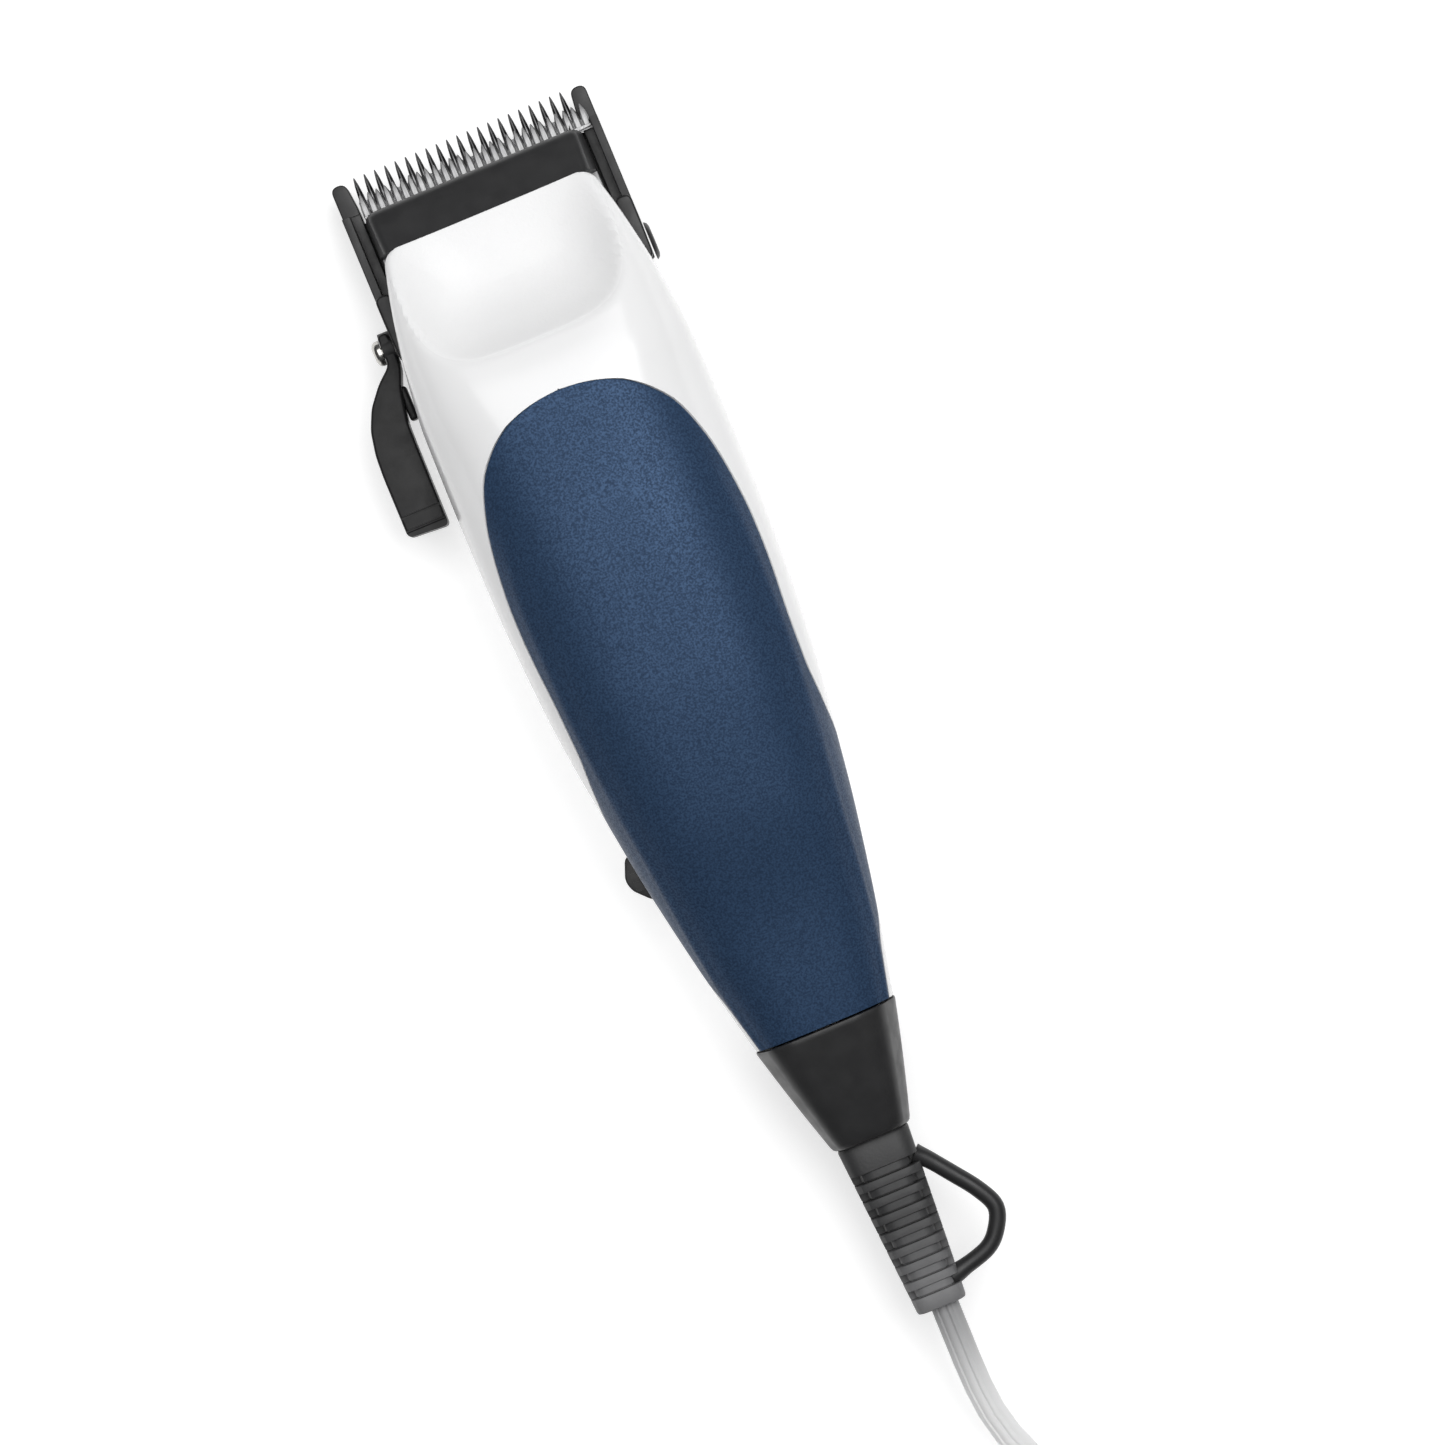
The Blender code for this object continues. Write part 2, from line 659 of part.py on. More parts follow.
def taper_shaft():
    start = (-FRAME_SIDE + 0.1, LEVER_Y, LEVER_Z)
    end = (FRAME_SIDE - 0.1, LEVER_Y, LEVER_Z)
    shaft = rod("taper_shaft", start, end, SHAFT_RADIUS, STEEL)
    lean = LEVER_SWING / 2
    pin = (LEVER_Y + ECCENTRIC * math.sin(lean), LEVER_Z - ECCENTRIC * math.cos(lean))
    for x in (PIN_X[0], PIN_X[1] - 1.2):
        web = box("web", (x, -1.0, -ECCENTRIC), (x + 1.2, 1.0, 0), collection=CUTTERS)
        turn = Matrix.Rotation(lean, 4, "X")
        web.data.transform(Matrix.Translation((0, LEVER_Y * METRE, LEVER_Z * METRE)) @ turn)
        join(shaft, web)
    join(shaft, rod("pin", (PIN_X[0], *pin), (PIN_X[1], *pin), PIN_RADIUS, collection=CUTTERS))
    return shaft


def taper_lever():
    outline = [
        (-23.3, 58.6), (-23.4, 54.0), (-24.8, 50.5), (-25.9, 45.0), (-26.0, 41.0), (-26.1, 26.5),
        (-33.3, 27.0), (-33.3, 38.0), (-33.0, 41.5), (-32.0, 45.5), (-30.0, 49.5), (-27.5, 52.3),
        (-25.2, 54.7), (-25.2, 58.6),
    ]
    lever = plate("taper_lever", [outline], 7.6, 13.4, BLACK)
    hub = rod("hub", (-25.2, LEVER_Y, LEVER_Z), (-23.3, LEVER_Y, LEVER_Z), 3.1, collection=CUTTERS)
    join(lever, hub)
    join(lever, box("detent", (-25.4, 45.0, 8.8), (-24.0, 51.0, 12.2), collection=CUTTERS))
    hole = rod("hole", (-30, LEVER_Y, LEVER_Z), (-20, LEVER_Y, LEVER_Z), 1.5, collection=CUTTERS)
    cut(lever, hole)
    return lever


def taper_fasteners():
    machine_screw("taper_lever_screw", (-25.5, LEVER_Y, LEVER_Z), (1, 0, 0), 2.2, 2.2)
    cap = [(0.0, 0.8), (2.2, 0.8), (2.6, 0.4), (2.6, 0.0), (0.0, 0.0)]
    turned("shaft_cap", cap, (FRAME_SIDE + 0.2, LEVER_Y, LEVER_Z), (1, 0, 0), BLACK)


def shaft_bearings():
    for name, side in (("shaft_bearing_left", -1), ("shaft_bearing_right", 1)):
        inner, outer = sorted((side * 15.9, side * 19.3))
        if side > 0:
            inner = 17.2
        low = (inner, 53.5, COMB_HIGH + 1.2 * GAP)
        block = box(name, low, (outer, 61.7, 15.4), NYLON, rounding=0.6)
        hole = rod("bore", (side * 10, LEVER_Y, LEVER_Z), (side * 25, LEVER_Y, LEVER_Z),
                   SHAFT_RADIUS + GAP, collection=CUTTERS)
        cut(block, hole)


# ---------------------------------------------------------------- motor and drive

def stator_core():
    outline = [
        (-19.0, -2.0), (1.0, -2.0), (1.0, 5.0), (-14.0, 5.0), (-14.0, 14.0), (1.0, 14.0),
        (1.0, 22.0), (-14.0, 22.0), (-14.0, 31.0), (1.0, 31.0), (1.0, 38.0), (-19.0, 38.0),
    ]
    holes = [circle(-16.5, y, 1.6) for y in (2.0, 34.0)]
    return plate("stator_core", [outline, *holes], STATOR_LOW, STATOR_HIGH, LAMINATED)


def stator_screws():
    for name, y in (("stator_screw_rear", 2.0), ("stator_screw_front", 34.0)):
        machine_screw(name, (-16.5, y, STATOR_HIGH + GAP), (0, 0, -1), 2.4, 14.0)


def bobbin():
    spool = box("bobbin", (-13.4, 12.7, 9.7), (0.4, 23.3, 26.3), NYLON)
    for x in (-13.4, -0.8):
        flange = box("flange", (x, 5.7, 5.8), (x + 1.2, 30.3, 30.2), collection=CUTTERS)
        join(spool, flange)
    cut(spool, box("core_way", (-20, 13.7, 10.7), (5, 22.3, 25.3), collection=CUTTERS))
    return spool


def winding():
    coil = box("winding", (-11.9, 6.4, 6.5), (-1.1, 29.6, 29.5), COPPER, rounding=2.0)
    cut(coil, box("spool_way", (-20, 12.4, 9.4), (5, 23.6, 26.6), collection=CUTTERS))
    return coil


def armature_core():
    return box("armature_core", (2.6, -2.0, 11.5), (7.6, 38.0, 24.5), LAMINATED)


def drive_arm():
    outline = [
        (8.0, -5.0), (13.0, -5.0), (13.0, 36.0), (8.4, 50.0), (4.4, 58.0), (4.4, 71.0),
        (-2.2, 71.0), (-2.2, 57.0), (1.0, 48.5), (5.0, 41.5), (8.0, 38.4),
    ]
    arm = plate("drive_arm", [outline], ARM_LOW, ARM_HIGH, NYLON)
    low = (CUTTER_OFFSET - 1.5, FINGER_Y - 1.5, 10.2)
    high = (CUTTER_OFFSET + 1.5, FINGER_Y + 1.5, ARM_LOW + 1.0)
    join(arm, box("finger", low, high, collection=CUTTERS))
    return arm


def leaf_spring():
    return box("leaf_spring", (8.6, -20.0, 12.5), (9.4, -5.4, 19.5), STEEL)


def spring_clamp():
    clamp = box("spring_clamp", (4.0, -23.0, 6.0), (14.0, -12.5, 21.0), LAMINATED, rounding=0.8)
    cut(clamp, box("leaf_way", (8.0, -21.0, 11.5), (10.0, -10.0, 25.0), collection=CUTTERS))
    for x in (6.0, 12.0):
        cut(clamp, rod("bore", (x, -17.8, 0), (x, -17.8, 25), 1.5, collection=CUTTERS, sides=12))
    return clamp


def clamp_screws():
    for name, x in (("clamp_screw_left", 6.0), ("clamp_screw_right", 12.0)):
        machine_screw(name, (x, -17.8, 21.3), (0, 0, -1), 1.8, 15.0)


# ---------------------------------------------------------------- power controls

def power_screw():
    y, z = POWER_SCREW
    profile = [(0.0, 1.9), (2.6, 1.9), (3.0, 1.5), (3.0, 0.0), (1.5, 0.0), (1.5, -8.5), (0.0, -8.5)]
    screw = turned("power_screw", profile, (22.7, y, z), (1, 0, 0), STEEL)
    cut(screw, box("driver_slot", (24.0, y - 4, z - 0.5), (26.0, y + 4, z + 0.5), collection=CUTTERS))
    return screw


def switch_body():
    return box("switch_body", (-14.3, -46.0, 8.5), (-7.4, -29.5, 16.5), BLACK, rounding=0.5)


def switch_knob():
    outline = [
        (-14.7, -44.8), (-18.6, -44.8), (-21.3, -42.0), (-21.8, -40.0), (-20.4, -36.4), (-14.7, -35.6),
    ]
    return plate("switch_knob", [outline], SWITCH_Z[0] + 0.4, SWITCH_Z[1] - 0.4, BLACK)


# ---------------------------------------------------------------- wiring inside

def inner_cord():
    route = [(0.3, -90.6, 15.0), (0.2, -84, 14.6), (0.0, -76, 13.6), (0.0, -68, 13.0), (0.0, -60, 13.0)]
    return tube("inner_cord", smooth_path(route, 5.0), CORD_RADIUS, CORD)


def cord_clamp():
    clamp = box("cord_clamp", (-8.0, -70.0, 15.8), (8.0, -64.0, 17.8), NYLON, rounding=0.4)
    for x in (-5.5, 5.5):
        cut(clamp, rod("bore", (x, -67, 0), (x, -67, 25), 1.5, collection=CUTTERS, sides=12))
    return clamp


def cord_clamp_screws():
    for name, x in (("cord_clamp_screw_left", -5.5), ("cord_clamp_screw_right", 5.5)):
        machine_screw(name, (x, -67.0, 18.1), (0, 0, -1), 2.2, 9.0)


def lead_wires():
    routes = {
        "lead_wire_live": [(-1.2, -59.5, 13), (-4, -55, 13), (-9, -51, 13), (-11.5, -46.5, 13)],
        "lead_wire_switched": [
            (-11.5, -29.1, 12), (-12, -22, 10), (-12.5, -12, 8), (-12, -2, 7), (-9, 3.0, 7.2),
            (-8.2, 5.3, 8.6),
        ],
        "lead_wire_return": [
            (1.2, -59.5, 13), (2.5, -52, 11), (1.0, -40, 8), (-2.0, -25, 7), (-4.5, -10, 7),
            (-5.0, 0, 7), (-5.0, 5.3, 8.6),
        ],
    }
    for name, route in routes.items():
        tube(name, smooth_path(route, 5.0), 0.8, RUBBER)


# ---------------------------------------------------------------- tail

def ring(y, width, height, middle, roundness, count=24):
    turns = [2 * math.pi * i / count for i in range(count)]
    flat = [superellipse(turn, width, height, roundness) for turn in turns]
    return [(x, y, middle + z) for x, z in flat]


def end_cap():
    rings = [
        ring(CAP_TAIL, 5.0, 4.0, 15.0, 3.0), ring(CAP_TAIL, 6.95, 6.6, 15.0, 3.0),
        ring(-85.0, 9.75, 9.0, 15.5, 3.1), ring(BODY_TAIL - GAP, 12.6, 11.3, 16.0, 3.1),
    ]
    cap = grid_surface("end_cap", rings, BLACK, closed=True)
    thicken(cap, 1.8)
    return cap


def cord_boot():
    near, far = BOOT_Z
    rings = [
        ring(BOOT_TAIL, 4.35, 3.75, far, 4.0, 16), ring(CAP_TAIL - GAP, 6.35, 4.75, near, 4.0, 16),
        ring(CAP_TAIL - GAP, 4.5, 3.5, near, 4.0, 16), ring(-92.6, 4.5, 3.5, near, 4.0, 16),
        ring(-92.6, 5.4, 4.9, near, 3.0, 16), ring(-91.0, 5.4, 4.9, near, 3.0, 16),
    ]
    return solid_loft("cord_boot", rings, RUBBER)


def hanging_loop():
    route = [
        (7.2, -102.4, 14.8), (9.9, -105.9, 14.8), (13.0, -110.2, 14.7), (14.6, -114.0, 14.6),
        (13.2, -117.5, 14.5), (10.5, -120.0, 14.4), (5.1, -121.6, 14.3),
    ]
    return tube("hanging_loop", smooth_path(route, 1.5), 1.45, BLACK)


# ---------------------------------------------------------------- cord and plug

def cord_run():
    return tube("cord_run", smooth_path(CORD_ROUTE, 2 * CORD_RADIUS * 1.2), CORD_RADIUS, CORD)


def cord_coil():
    """The wound cord: one closed ring of the bundle's outer shape."""
    inner, outer = COIL_RADIUS - COIL_HALF_WIDTH, COIL_RADIUS + COIL_HALF_WIDTH
    edge = 2.0
    profile = [
        (inner + edge, COIL_HEIGHT), (outer - edge, COIL_HEIGHT), (outer, COIL_HEIGHT - edge),
        (outer, edge), (outer - edge, 0.0), (inner + edge, 0.0), (inner, edge),
        (inner, COIL_HEIGHT - edge), (inner + edge, COIL_HEIGHT),
    ]
    return turned("cord_coil", profile, (*COIL_CENTRE, 0.0), (0, 0, 1), CORD, sides=40)


def cord_tail():
    return tube("cord_tail", smooth_path(TAIL_ROUTE, 5.0), CORD_RADIUS, CORD)


def cord_tie():
    """A strap over the bundle, on the coil's side away from the clipper."""
    x, y = COIL_CENTRE
    far, near = y - COIL_RADIUS - COIL_HALF_WIDTH, y - COIL_RADIUS + COIL_HALF_WIDTH
    strap = box("cord_tie", (x - 3, far - 1.4, 0.1), (x + 3, near + 1.4, COIL_HEIGHT + 1.2), BLACK)
    way = box("way", (x - 9, far - 0.5, -1), (x + 9, near + 0.5, COIL_HEIGHT + 0.4), collection=CUTTERS)
    cut(strap, way)
    return strap


def plug_body():
    rings = []
    middle = (PLUG_Z[0] + PLUG_Z[1]) / 2
    shape = [
        (PLUG_Y[0], 3.4, 3.4), (PLUG_Y[0] + 8.0, 4.6, 4.4), (PLUG_Y[0] + 12.0, 9.0, 6.4),
        (PLUG_Y[1], 10.5, 6.8),
    ]
    for y, width, height in shape:
        rings.append([(PLUG_X + x, y, z) for x, y, z in ring(y, width, height, middle, 3.4, 16)])
    return solid_loft("plug_body", rings, BLACK)


def plug_blades():
    middle = (PLUG_Z[0] + PLUG_Z[1]) / 2
    for name, side in (("plug_blade_left", -1), ("plug_blade_right", 1)):
        x = PLUG_X + side * 6.35
        low = (x - 0.75, PLUG_Y[1] + GAP, middle - 3.2)
        high = (x + 0.75, PLUG_Y[1] + 16.5, middle + 3.2)
        box(name, low, high, BRASS, rounding=0.3)


# ---------------------------------------------------------------- assembly

def build_casing():
    upper_housing()
    lower_housing()
    grip_inlay()
    nose_cover()
    housing_screws()
    end_cap()


def build_blades():
    blade_frame()
    comb_blade()
    cutter_blade()
    blade_screws()
    tension_spring()


def build_taper():
    taper_shaft()
    taper_lever()
    taper_fasteners()
    shaft_bearings()


def build_drive():
    stator_core()
    stator_screws()
    bobbin()
    winding()
    armature_core()
    drive_arm()
    leaf_spring()
    spring_clamp()
    clamp_screws()


def build_controls_and_wiring():
    power_screw()
    switch_body()
    switch_knob()
    inner_cord()
    cord_clamp()
    cord_clamp_screws()
    lead_wires()


def build_cord():
    cord_boot()
    hanging_loop()
    cord_run()
    cord_coil()
    cord_tail()
    cord_tie()
    plug_body()
    plug_blades()


build_casing()
build_blades()
build_taper()
build_drive()
build_controls_and_wiring()
build_cord()
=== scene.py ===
"""The looks of a corded hair clipper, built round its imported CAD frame.

Sizes in this file are millimetres; every mesh is scaled to metres when it is made.
+X is the clipper's right, +Y points at the cutting teeth, +Z is up from the flat belly.
"""

import bisect
import math

import bmesh
import bpy
from mathutils import Matrix, Vector


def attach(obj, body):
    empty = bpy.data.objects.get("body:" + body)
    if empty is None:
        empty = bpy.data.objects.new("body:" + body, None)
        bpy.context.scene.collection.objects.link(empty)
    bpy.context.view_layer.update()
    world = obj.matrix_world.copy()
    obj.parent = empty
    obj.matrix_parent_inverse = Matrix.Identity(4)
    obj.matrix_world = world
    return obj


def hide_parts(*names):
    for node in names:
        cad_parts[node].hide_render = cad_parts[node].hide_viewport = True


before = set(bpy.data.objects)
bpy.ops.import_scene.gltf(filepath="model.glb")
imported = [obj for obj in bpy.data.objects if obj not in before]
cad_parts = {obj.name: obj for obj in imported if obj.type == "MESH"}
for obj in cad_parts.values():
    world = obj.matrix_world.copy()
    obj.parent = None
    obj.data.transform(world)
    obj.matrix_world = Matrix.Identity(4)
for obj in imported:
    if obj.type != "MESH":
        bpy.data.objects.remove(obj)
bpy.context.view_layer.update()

METRE = 0.001
GAP = 0.3

# Housing
BODY_TAIL = -74.5
BODY_FRONT = 71.4
SHELL = 1.1
UPPER_ROUNDNESS = [(-74.5, 2.8), (30.0, 2.9), (45.0, 3.6), (60.0, 5.5), (71.4, 6.5)]
LOWER_ROUNDNESS = 3.5
HALF_WIDTH = [
    (-74.5, 12.4), (-60.0, 15.6), (-50.0, 17.5), (-40.0, 19.2), (-30.0, 20.6), (-20.0, 22.0),
    (-10.0, 23.0), (0.0, 23.6), (10.0, 24.0), (25.0, 24.1), (40.0, 23.9), (51.0, 22.8),
    (62.0, 20.9), (66.0, 20.0), (71.4, 18.6),
]
CROWN = [
    (-74.5, 27.0), (-55.0, 31.0), (-35.0, 37.0), (-10.0, 41.0), (15.0, 42.5), (38.0, 40.5),
    (47.4, 38.0), (60.0, 32.5), (71.4, 27.5),
]
KEEL = [
    (-74.5, 5.0), (-55.0, 2.6), (-40.0, 0.9), (-25.0, -0.35), (45.0, -0.35), (52.0, 1.6),
    (62.0, 6.0), (71.4, 9.0),
]
PARTING = [(-74.5, 16.0), (-30.0, 18.0), (0.0, 19.0), (45.0, 19.0), (71.4, 17.5)]
FRONT_CORNER = 2.2

# Grip inlay: distance between the side of the body and its edge, seen from above
INLAY_MARGIN = [
    (-74.5, 0.8), (-66.0, 0.6), (-60.0, 0.08), (-31.0, 0.08), (-25.0, 0.9), (-17.0, 2.1),
    (-8.0, 2.5), (0.0, 2.4), (8.0, 2.65), (15.0, 3.25), (21.0, 4.2), (25.5, 5.45),
    (29.5, 7.05), (33.2, 10.0), (36.2, 13.9), (37.6, 17.0),
]
INLAY_APEX = 38.4
INLAY_LOWEST = math.radians(8)
INLAY_SEAM = 0.22
INLAY_DEPTH = 1.0

# Thumb scoop behind the nose
SCOOP_HALF_WIDTH = 19.6
SCOOP_LENGTH = 24.6
SCOOP_FLOOR = 24.0
SCOOP_LIP = 1.2

# Blade set
COMB_TEETH = 21
COMB_PITCH = 1.88
COMB_TIP = 86.8
COMB_ROOT = 80.6
COMB_BACK = 62.0
COMB_Z = (7.1, 9.4)
COMB_HALF = 19.6
CUTTER_TEETH = 28
CUTTER_PITCH = 1.48
CUTTER_TIP = 83.5
CUTTER_ROOT = 80.9
CUTTER_BACK = 64.0
CUTTER_Z = (9.7, 11.3)
CUTTER_HALF = 20.6
CUTTER_OFFSET = 1.1
BLADE_SCREW = (11.0, 66.0)
BLADE_SCREW_HOLE = 1.6
FRAME_FLOOR = 5.2
FRAME_SIDE = 23.15
FRAME_BACK_SIDE = 23.0

# Taper lever
LEVER_Y = 57.6
LEVER_Z = 10.5
LEVER_SWING = math.radians(45)

# Tail, cord and plug
CAP_TAIL = -95.2
BOOT_TAIL = -125.8
BOOT_Z = (15.0, 14.0)
CORD_WIDTH = 4.8
CORD_HEIGHT = 4.3
CORD_ROUTE = [
    (0.4, -126.1, 14.0), (0.35, -131.0, 13.6), (0.3, -136.0, 12.5), (0.35, -141.0, 10.8),
    (0.75, -146.0, 8.8), (1.8, -151.0, 6.8), (3.6, -156.0, 5.1), (5.9, -161.0, 3.7),
    (8.4, -166.0, 2.8), (10.7, -171.6, 2.3),
]
COIL_CENTRE = (-20.0, -196.0)
COIL_OUTER = 36.0
COIL_INNER = 21.6
COIL_LAYERS = (2.2, 6.95, 11.7)
TAIL_ROUTE = [
    (-36.9, -219.3, 17.3), (-40.1, -216.4, 18.9), (-43.1, -213.0, 20.3), (-45.4, -209.3, 21.1),
    (-47.2, -205.5, 21.5), (-47.6, -201.6, 21.6),
]
PLUG_X = -47.6
PLUG_Y = (-201.2, -175.0)
PLUG_Z = (14.8, 28.4)

# Camera and studio
VIEW_CENTRE = (3.53, -21.75, 18.0)
VIEW_UP = (0.384, 0.923, 0.0)
VIEW_FIELD = 240.8
VIEW_LEAN = math.radians(0.8)
VIEW_DISTANCE = 900.0


# ---------------------------------------------------------------- camera, light and floor

def aim(obj, position, target, up):
    """Puts a camera or lamp at a position, looking at a target with `up` upright."""
    back = (Vector(position) - Vector(target)).normalized()
    right = Vector(up).cross(back).normalized()
    turn = Matrix((right, back.cross(right), back)).transposed()
    obj.matrix_world = Matrix.Translation(Vector(position) * METRE) @ turn.to_4x4()


def place_camera():
    camera = bpy.data.objects.new("camera", bpy.data.cameras.new("camera"))
    bpy.context.scene.collection.objects.link(camera)
    lean = Vector((math.sin(VIEW_LEAN), 0.0, math.cos(VIEW_LEAN)))
    aim(camera, Vector(VIEW_CENTRE) + VIEW_DISTANCE * lean, VIEW_CENTRE, VIEW_UP)
    camera.data.lens = camera.data.sensor_width * VIEW_DISTANCE / VIEW_FIELD
    camera.data.clip_start = 0.01
    camera.data.clip_end = 20.0
    bpy.context.scene.camera = camera


def place_lamp(name, position, width, height, watts):
    lamp = bpy.data.objects.new(name, bpy.data.lights.new(name, "AREA"))
    bpy.context.scene.collection.objects.link(lamp)
    lamp.data.shape = "RECTANGLE"
    lamp.data.size = width * METRE
    lamp.data.size_y = height * METRE
    lamp.data.energy = watts
    aim(lamp, position, (0.0, 0.0, 20.0), (0.0, 1.0, 0.1))


def make_studio():
    bpy.context.scene.view_settings.view_transform = "Standard"
    world = bpy.data.worlds.new("studio")
    world.use_nodes = True
    world.node_tree.nodes["Background"].inputs["Color"].default_value = (0.96, 0.98, 1.0, 1.0)
    world.node_tree.nodes["Background"].inputs["Strength"].default_value = 0.08
    bpy.context.scene.world = world
    place_lamp("overhead", (40.0, 180.0, 880.0), 900.0, 900.0, 6.9)
    place_lamp("key", (300.0, 120.0, 780.0), 420.0, 520.0, 2.3)


def make_floor():
    bm = bmesh.new()
    bmesh.ops.create_grid(bm, x_segments=8, y_segments=8, size=6000.0)
    floor = from_bmesh("floor", bm, floor_material())
    floor.location.z = -0.00005


# ---------------------------------------------------------------- materials

class Surface:
    """A Principled material being built: textures lie in the object's own metres."""

    def __init__(self, name, roughness, metallic=0.0):
        self.material = bpy.data.materials.new(name)
        self.material.use_nodes = True
        self.tree = self.material.node_tree
        self.shader = self.tree.nodes["Principled BSDF"]
        self.shader.inputs["Roughness"].default_value = roughness
        self.shader.inputs["Metallic"].default_value = metallic
        self.place = self.tree.nodes.new("ShaderNodeTexCoord").outputs["Object"]

    def wire(self, value, socket):
        if isinstance(value, bpy.types.NodeSocket):
            self.tree.links.new(value, socket)
        else:
            socket.default_value = value

    def stretched(self, x, y, z):
        """The object's place with each axis scaled, for grain that runs one way."""
        node = self.tree.nodes.new("ShaderNodeMapping")
        self.wire(self.place, node.inputs["Vector"])
        node.inputs["Scale"].default_value = (x, y, z)
        return node.outputs["Vector"]

    def noise(self, size, detail=2.0, place=None):
        """Noise from 0 to 1 whose features are about `size` millimetres."""
        node = self.tree.nodes.new("ShaderNodeTexNoise")
        self.wire(place or self.place, node.inputs["Vector"])
        node.inputs["Scale"].default_value = 1 / (size * METRE)
        node.inputs["Detail"].default_value = detail
        return node.outputs["Fac"]

    def axis(self, letter):
        node = self.tree.nodes.new("ShaderNodeSeparateXYZ")
        self.wire(self.place, node.inputs[0])
        return node.outputs[letter]

    def math(self, operation, a, b=0.0):
        node = self.tree.nodes.new("ShaderNodeMath")
        node.operation = operation
        self.wire(a, node.inputs[0])
        self.wire(b, node.inputs[1])
        return node.outputs[0]

    def ramp(self, value, low, high, start=0.0, end=1.0):
        """start below low, end above high, and smooth between them."""
        node = self.tree.nodes.new("ShaderNodeMapRange")
        node.interpolation_type = "SMOOTHSTEP"
        self.wire(value, node.inputs["Value"])
        node.inputs["From Min"].default_value = low
        node.inputs["From Max"].default_value = high
        node.inputs["To Min"].default_value = start
        node.inputs["To Max"].default_value = end
        return node.outputs["Result"]

    def blend(self, share, a, b):
        """A colour from a to b by share; each colour is three numbers or a socket."""
        node = self.tree.nodes.new("ShaderNodeMix")
        node.data_type = "RGBA"
        self.wire(share, node.inputs["Factor"])
        for colour, socket in ((a, node.inputs["A"]), (b, node.inputs["B"])):
            self.wire(colour if isinstance(colour, bpy.types.NodeSocket) else (*colour, 1.0), socket)
        return node.outputs["Result"]

    def colour(self, value):
        self.wire(value, self.shader.inputs["Base Color"])

    def roughness(self, value):
        self.wire(value, self.shader.inputs["Roughness"])

    def bump(self, height, depth, over=None):
        """Relief `depth` millimetres deep, on top of another relief if one is given."""
        node = self.tree.nodes.new("ShaderNodeBump")
        self.wire(height, node.inputs["Height"])
        node.inputs["Distance"].default_value = depth * METRE
        if over:
            self.wire(over, node.inputs["Normal"])
        self.wire(node.outputs["Normal"], self.shader.inputs["Normal"])
        return node.outputs["Normal"]

    def set(self, **values):
        for name, value in values.items():
            self.shader.inputs[name.replace("_", " ")].default_value = value


def floor_material():
    surface = Surface("studio_floor", 0.9)
    mottle = surface.noise(60.0, 3.0)
    surface.colour(surface.blend(mottle, (0.64, 0.64, 0.64), (0.66, 0.66, 0.66)))
    surface.set(Emission_Color=(1.0, 1.0, 1.0, 1.0), Emission_Strength=0.55)
    surface.set(Specular_IOR_Level=0.1)
    return surface.material


def moulded_plastic(name, colour, roughness, grain=0.5, depth=0.004, variation=0.12, gloss=0.5):
    """Moulded plastic with a fine spark-eroded grain and slight unevenness."""
    surface = Surface(name, roughness)
    lighter = tuple(min(1.0, part * (1 + variation)) for part in colour)
    darker = tuple(part * (1 - variation) for part in colour)
    surface.colour(surface.blend(surface.noise(9.0, 4.0), darker, lighter))
    surface.roughness(surface.ramp(surface.noise(3.0, 4.0), 0.3, 0.7, roughness * 0.86, roughness * 1.12))
    wave = surface.bump(surface.noise(14.0, 1.0), 0.03)
    surface.bump(surface.noise(grain, 3.0), depth, wave)
    surface.set(Specular_IOR_Level=gloss)
    return surface.material


def white_housing_material():
    """Glossy white, with a matte grain in the thumb scoop."""
    surface = Surface("white_housing", 0.2)
    surface.colour(surface.blend(surface.noise(16.0, 4.0), (0.805, 0.805, 0.81), (0.83, 0.83, 0.83)))
    across = surface.math("POWER", surface.math("ABSOLUTE", surface.axis("X")), 4.0)
    across = surface.math("MULTIPLY", across, (SCOOP_HALF_WIDTH * METRE) ** -4)
    back = surface.math("SUBTRACT", (BODY_FRONT + 0.6) * METRE, surface.axis("Y"))
    back = surface.math("POWER", surface.math("MAXIMUM", back, 0.0), 4.0)
    back = surface.math("MULTIPLY", back, (SCOOP_LENGTH * METRE) ** -4)
    scoop = surface.ramp(surface.math("ADD", across, back), 0.86, 0.97, 1.0, 0.0)
    surface.roughness(surface.ramp(scoop, 0.0, 1.0, 0.2, 0.55))
    wave = surface.bump(surface.noise(18.0, 1.0), 0.05)
    grain = surface.math("MULTIPLY", surface.noise(0.45, 4.0), scoop)
    surface.bump(grain, 0.05, wave)
    surface.set(Coat_Weight=0.15, Coat_Roughness=0.08)
    return surface.material


def inlay_material():
    """Navy lacquer with fine metal flake."""
    surface = Surface("navy_flake", 0.46, 0.3)
    flake = surface.ramp(surface.noise(0.34, 3.0), 0.34, 0.68)
    cloud = surface.noise(11.0, 3.0)
    deep = surface.blend(cloud, (0.015, 0.033, 0.071), (0.018, 0.038, 0.079))
    bright = surface.blend(cloud, (0.032, 0.066, 0.132), (0.039, 0.077, 0.150))
    surface.colour(surface.blend(flake, deep, bright))
    surface.roughness(surface.ramp(flake, 0.0, 1.0, 0.54, 0.42))
    surface.bump(surface.noise(0.35, 2.0), 0.012)
    surface.set(Specular_IOR_Level=0.15)
    return surface.material


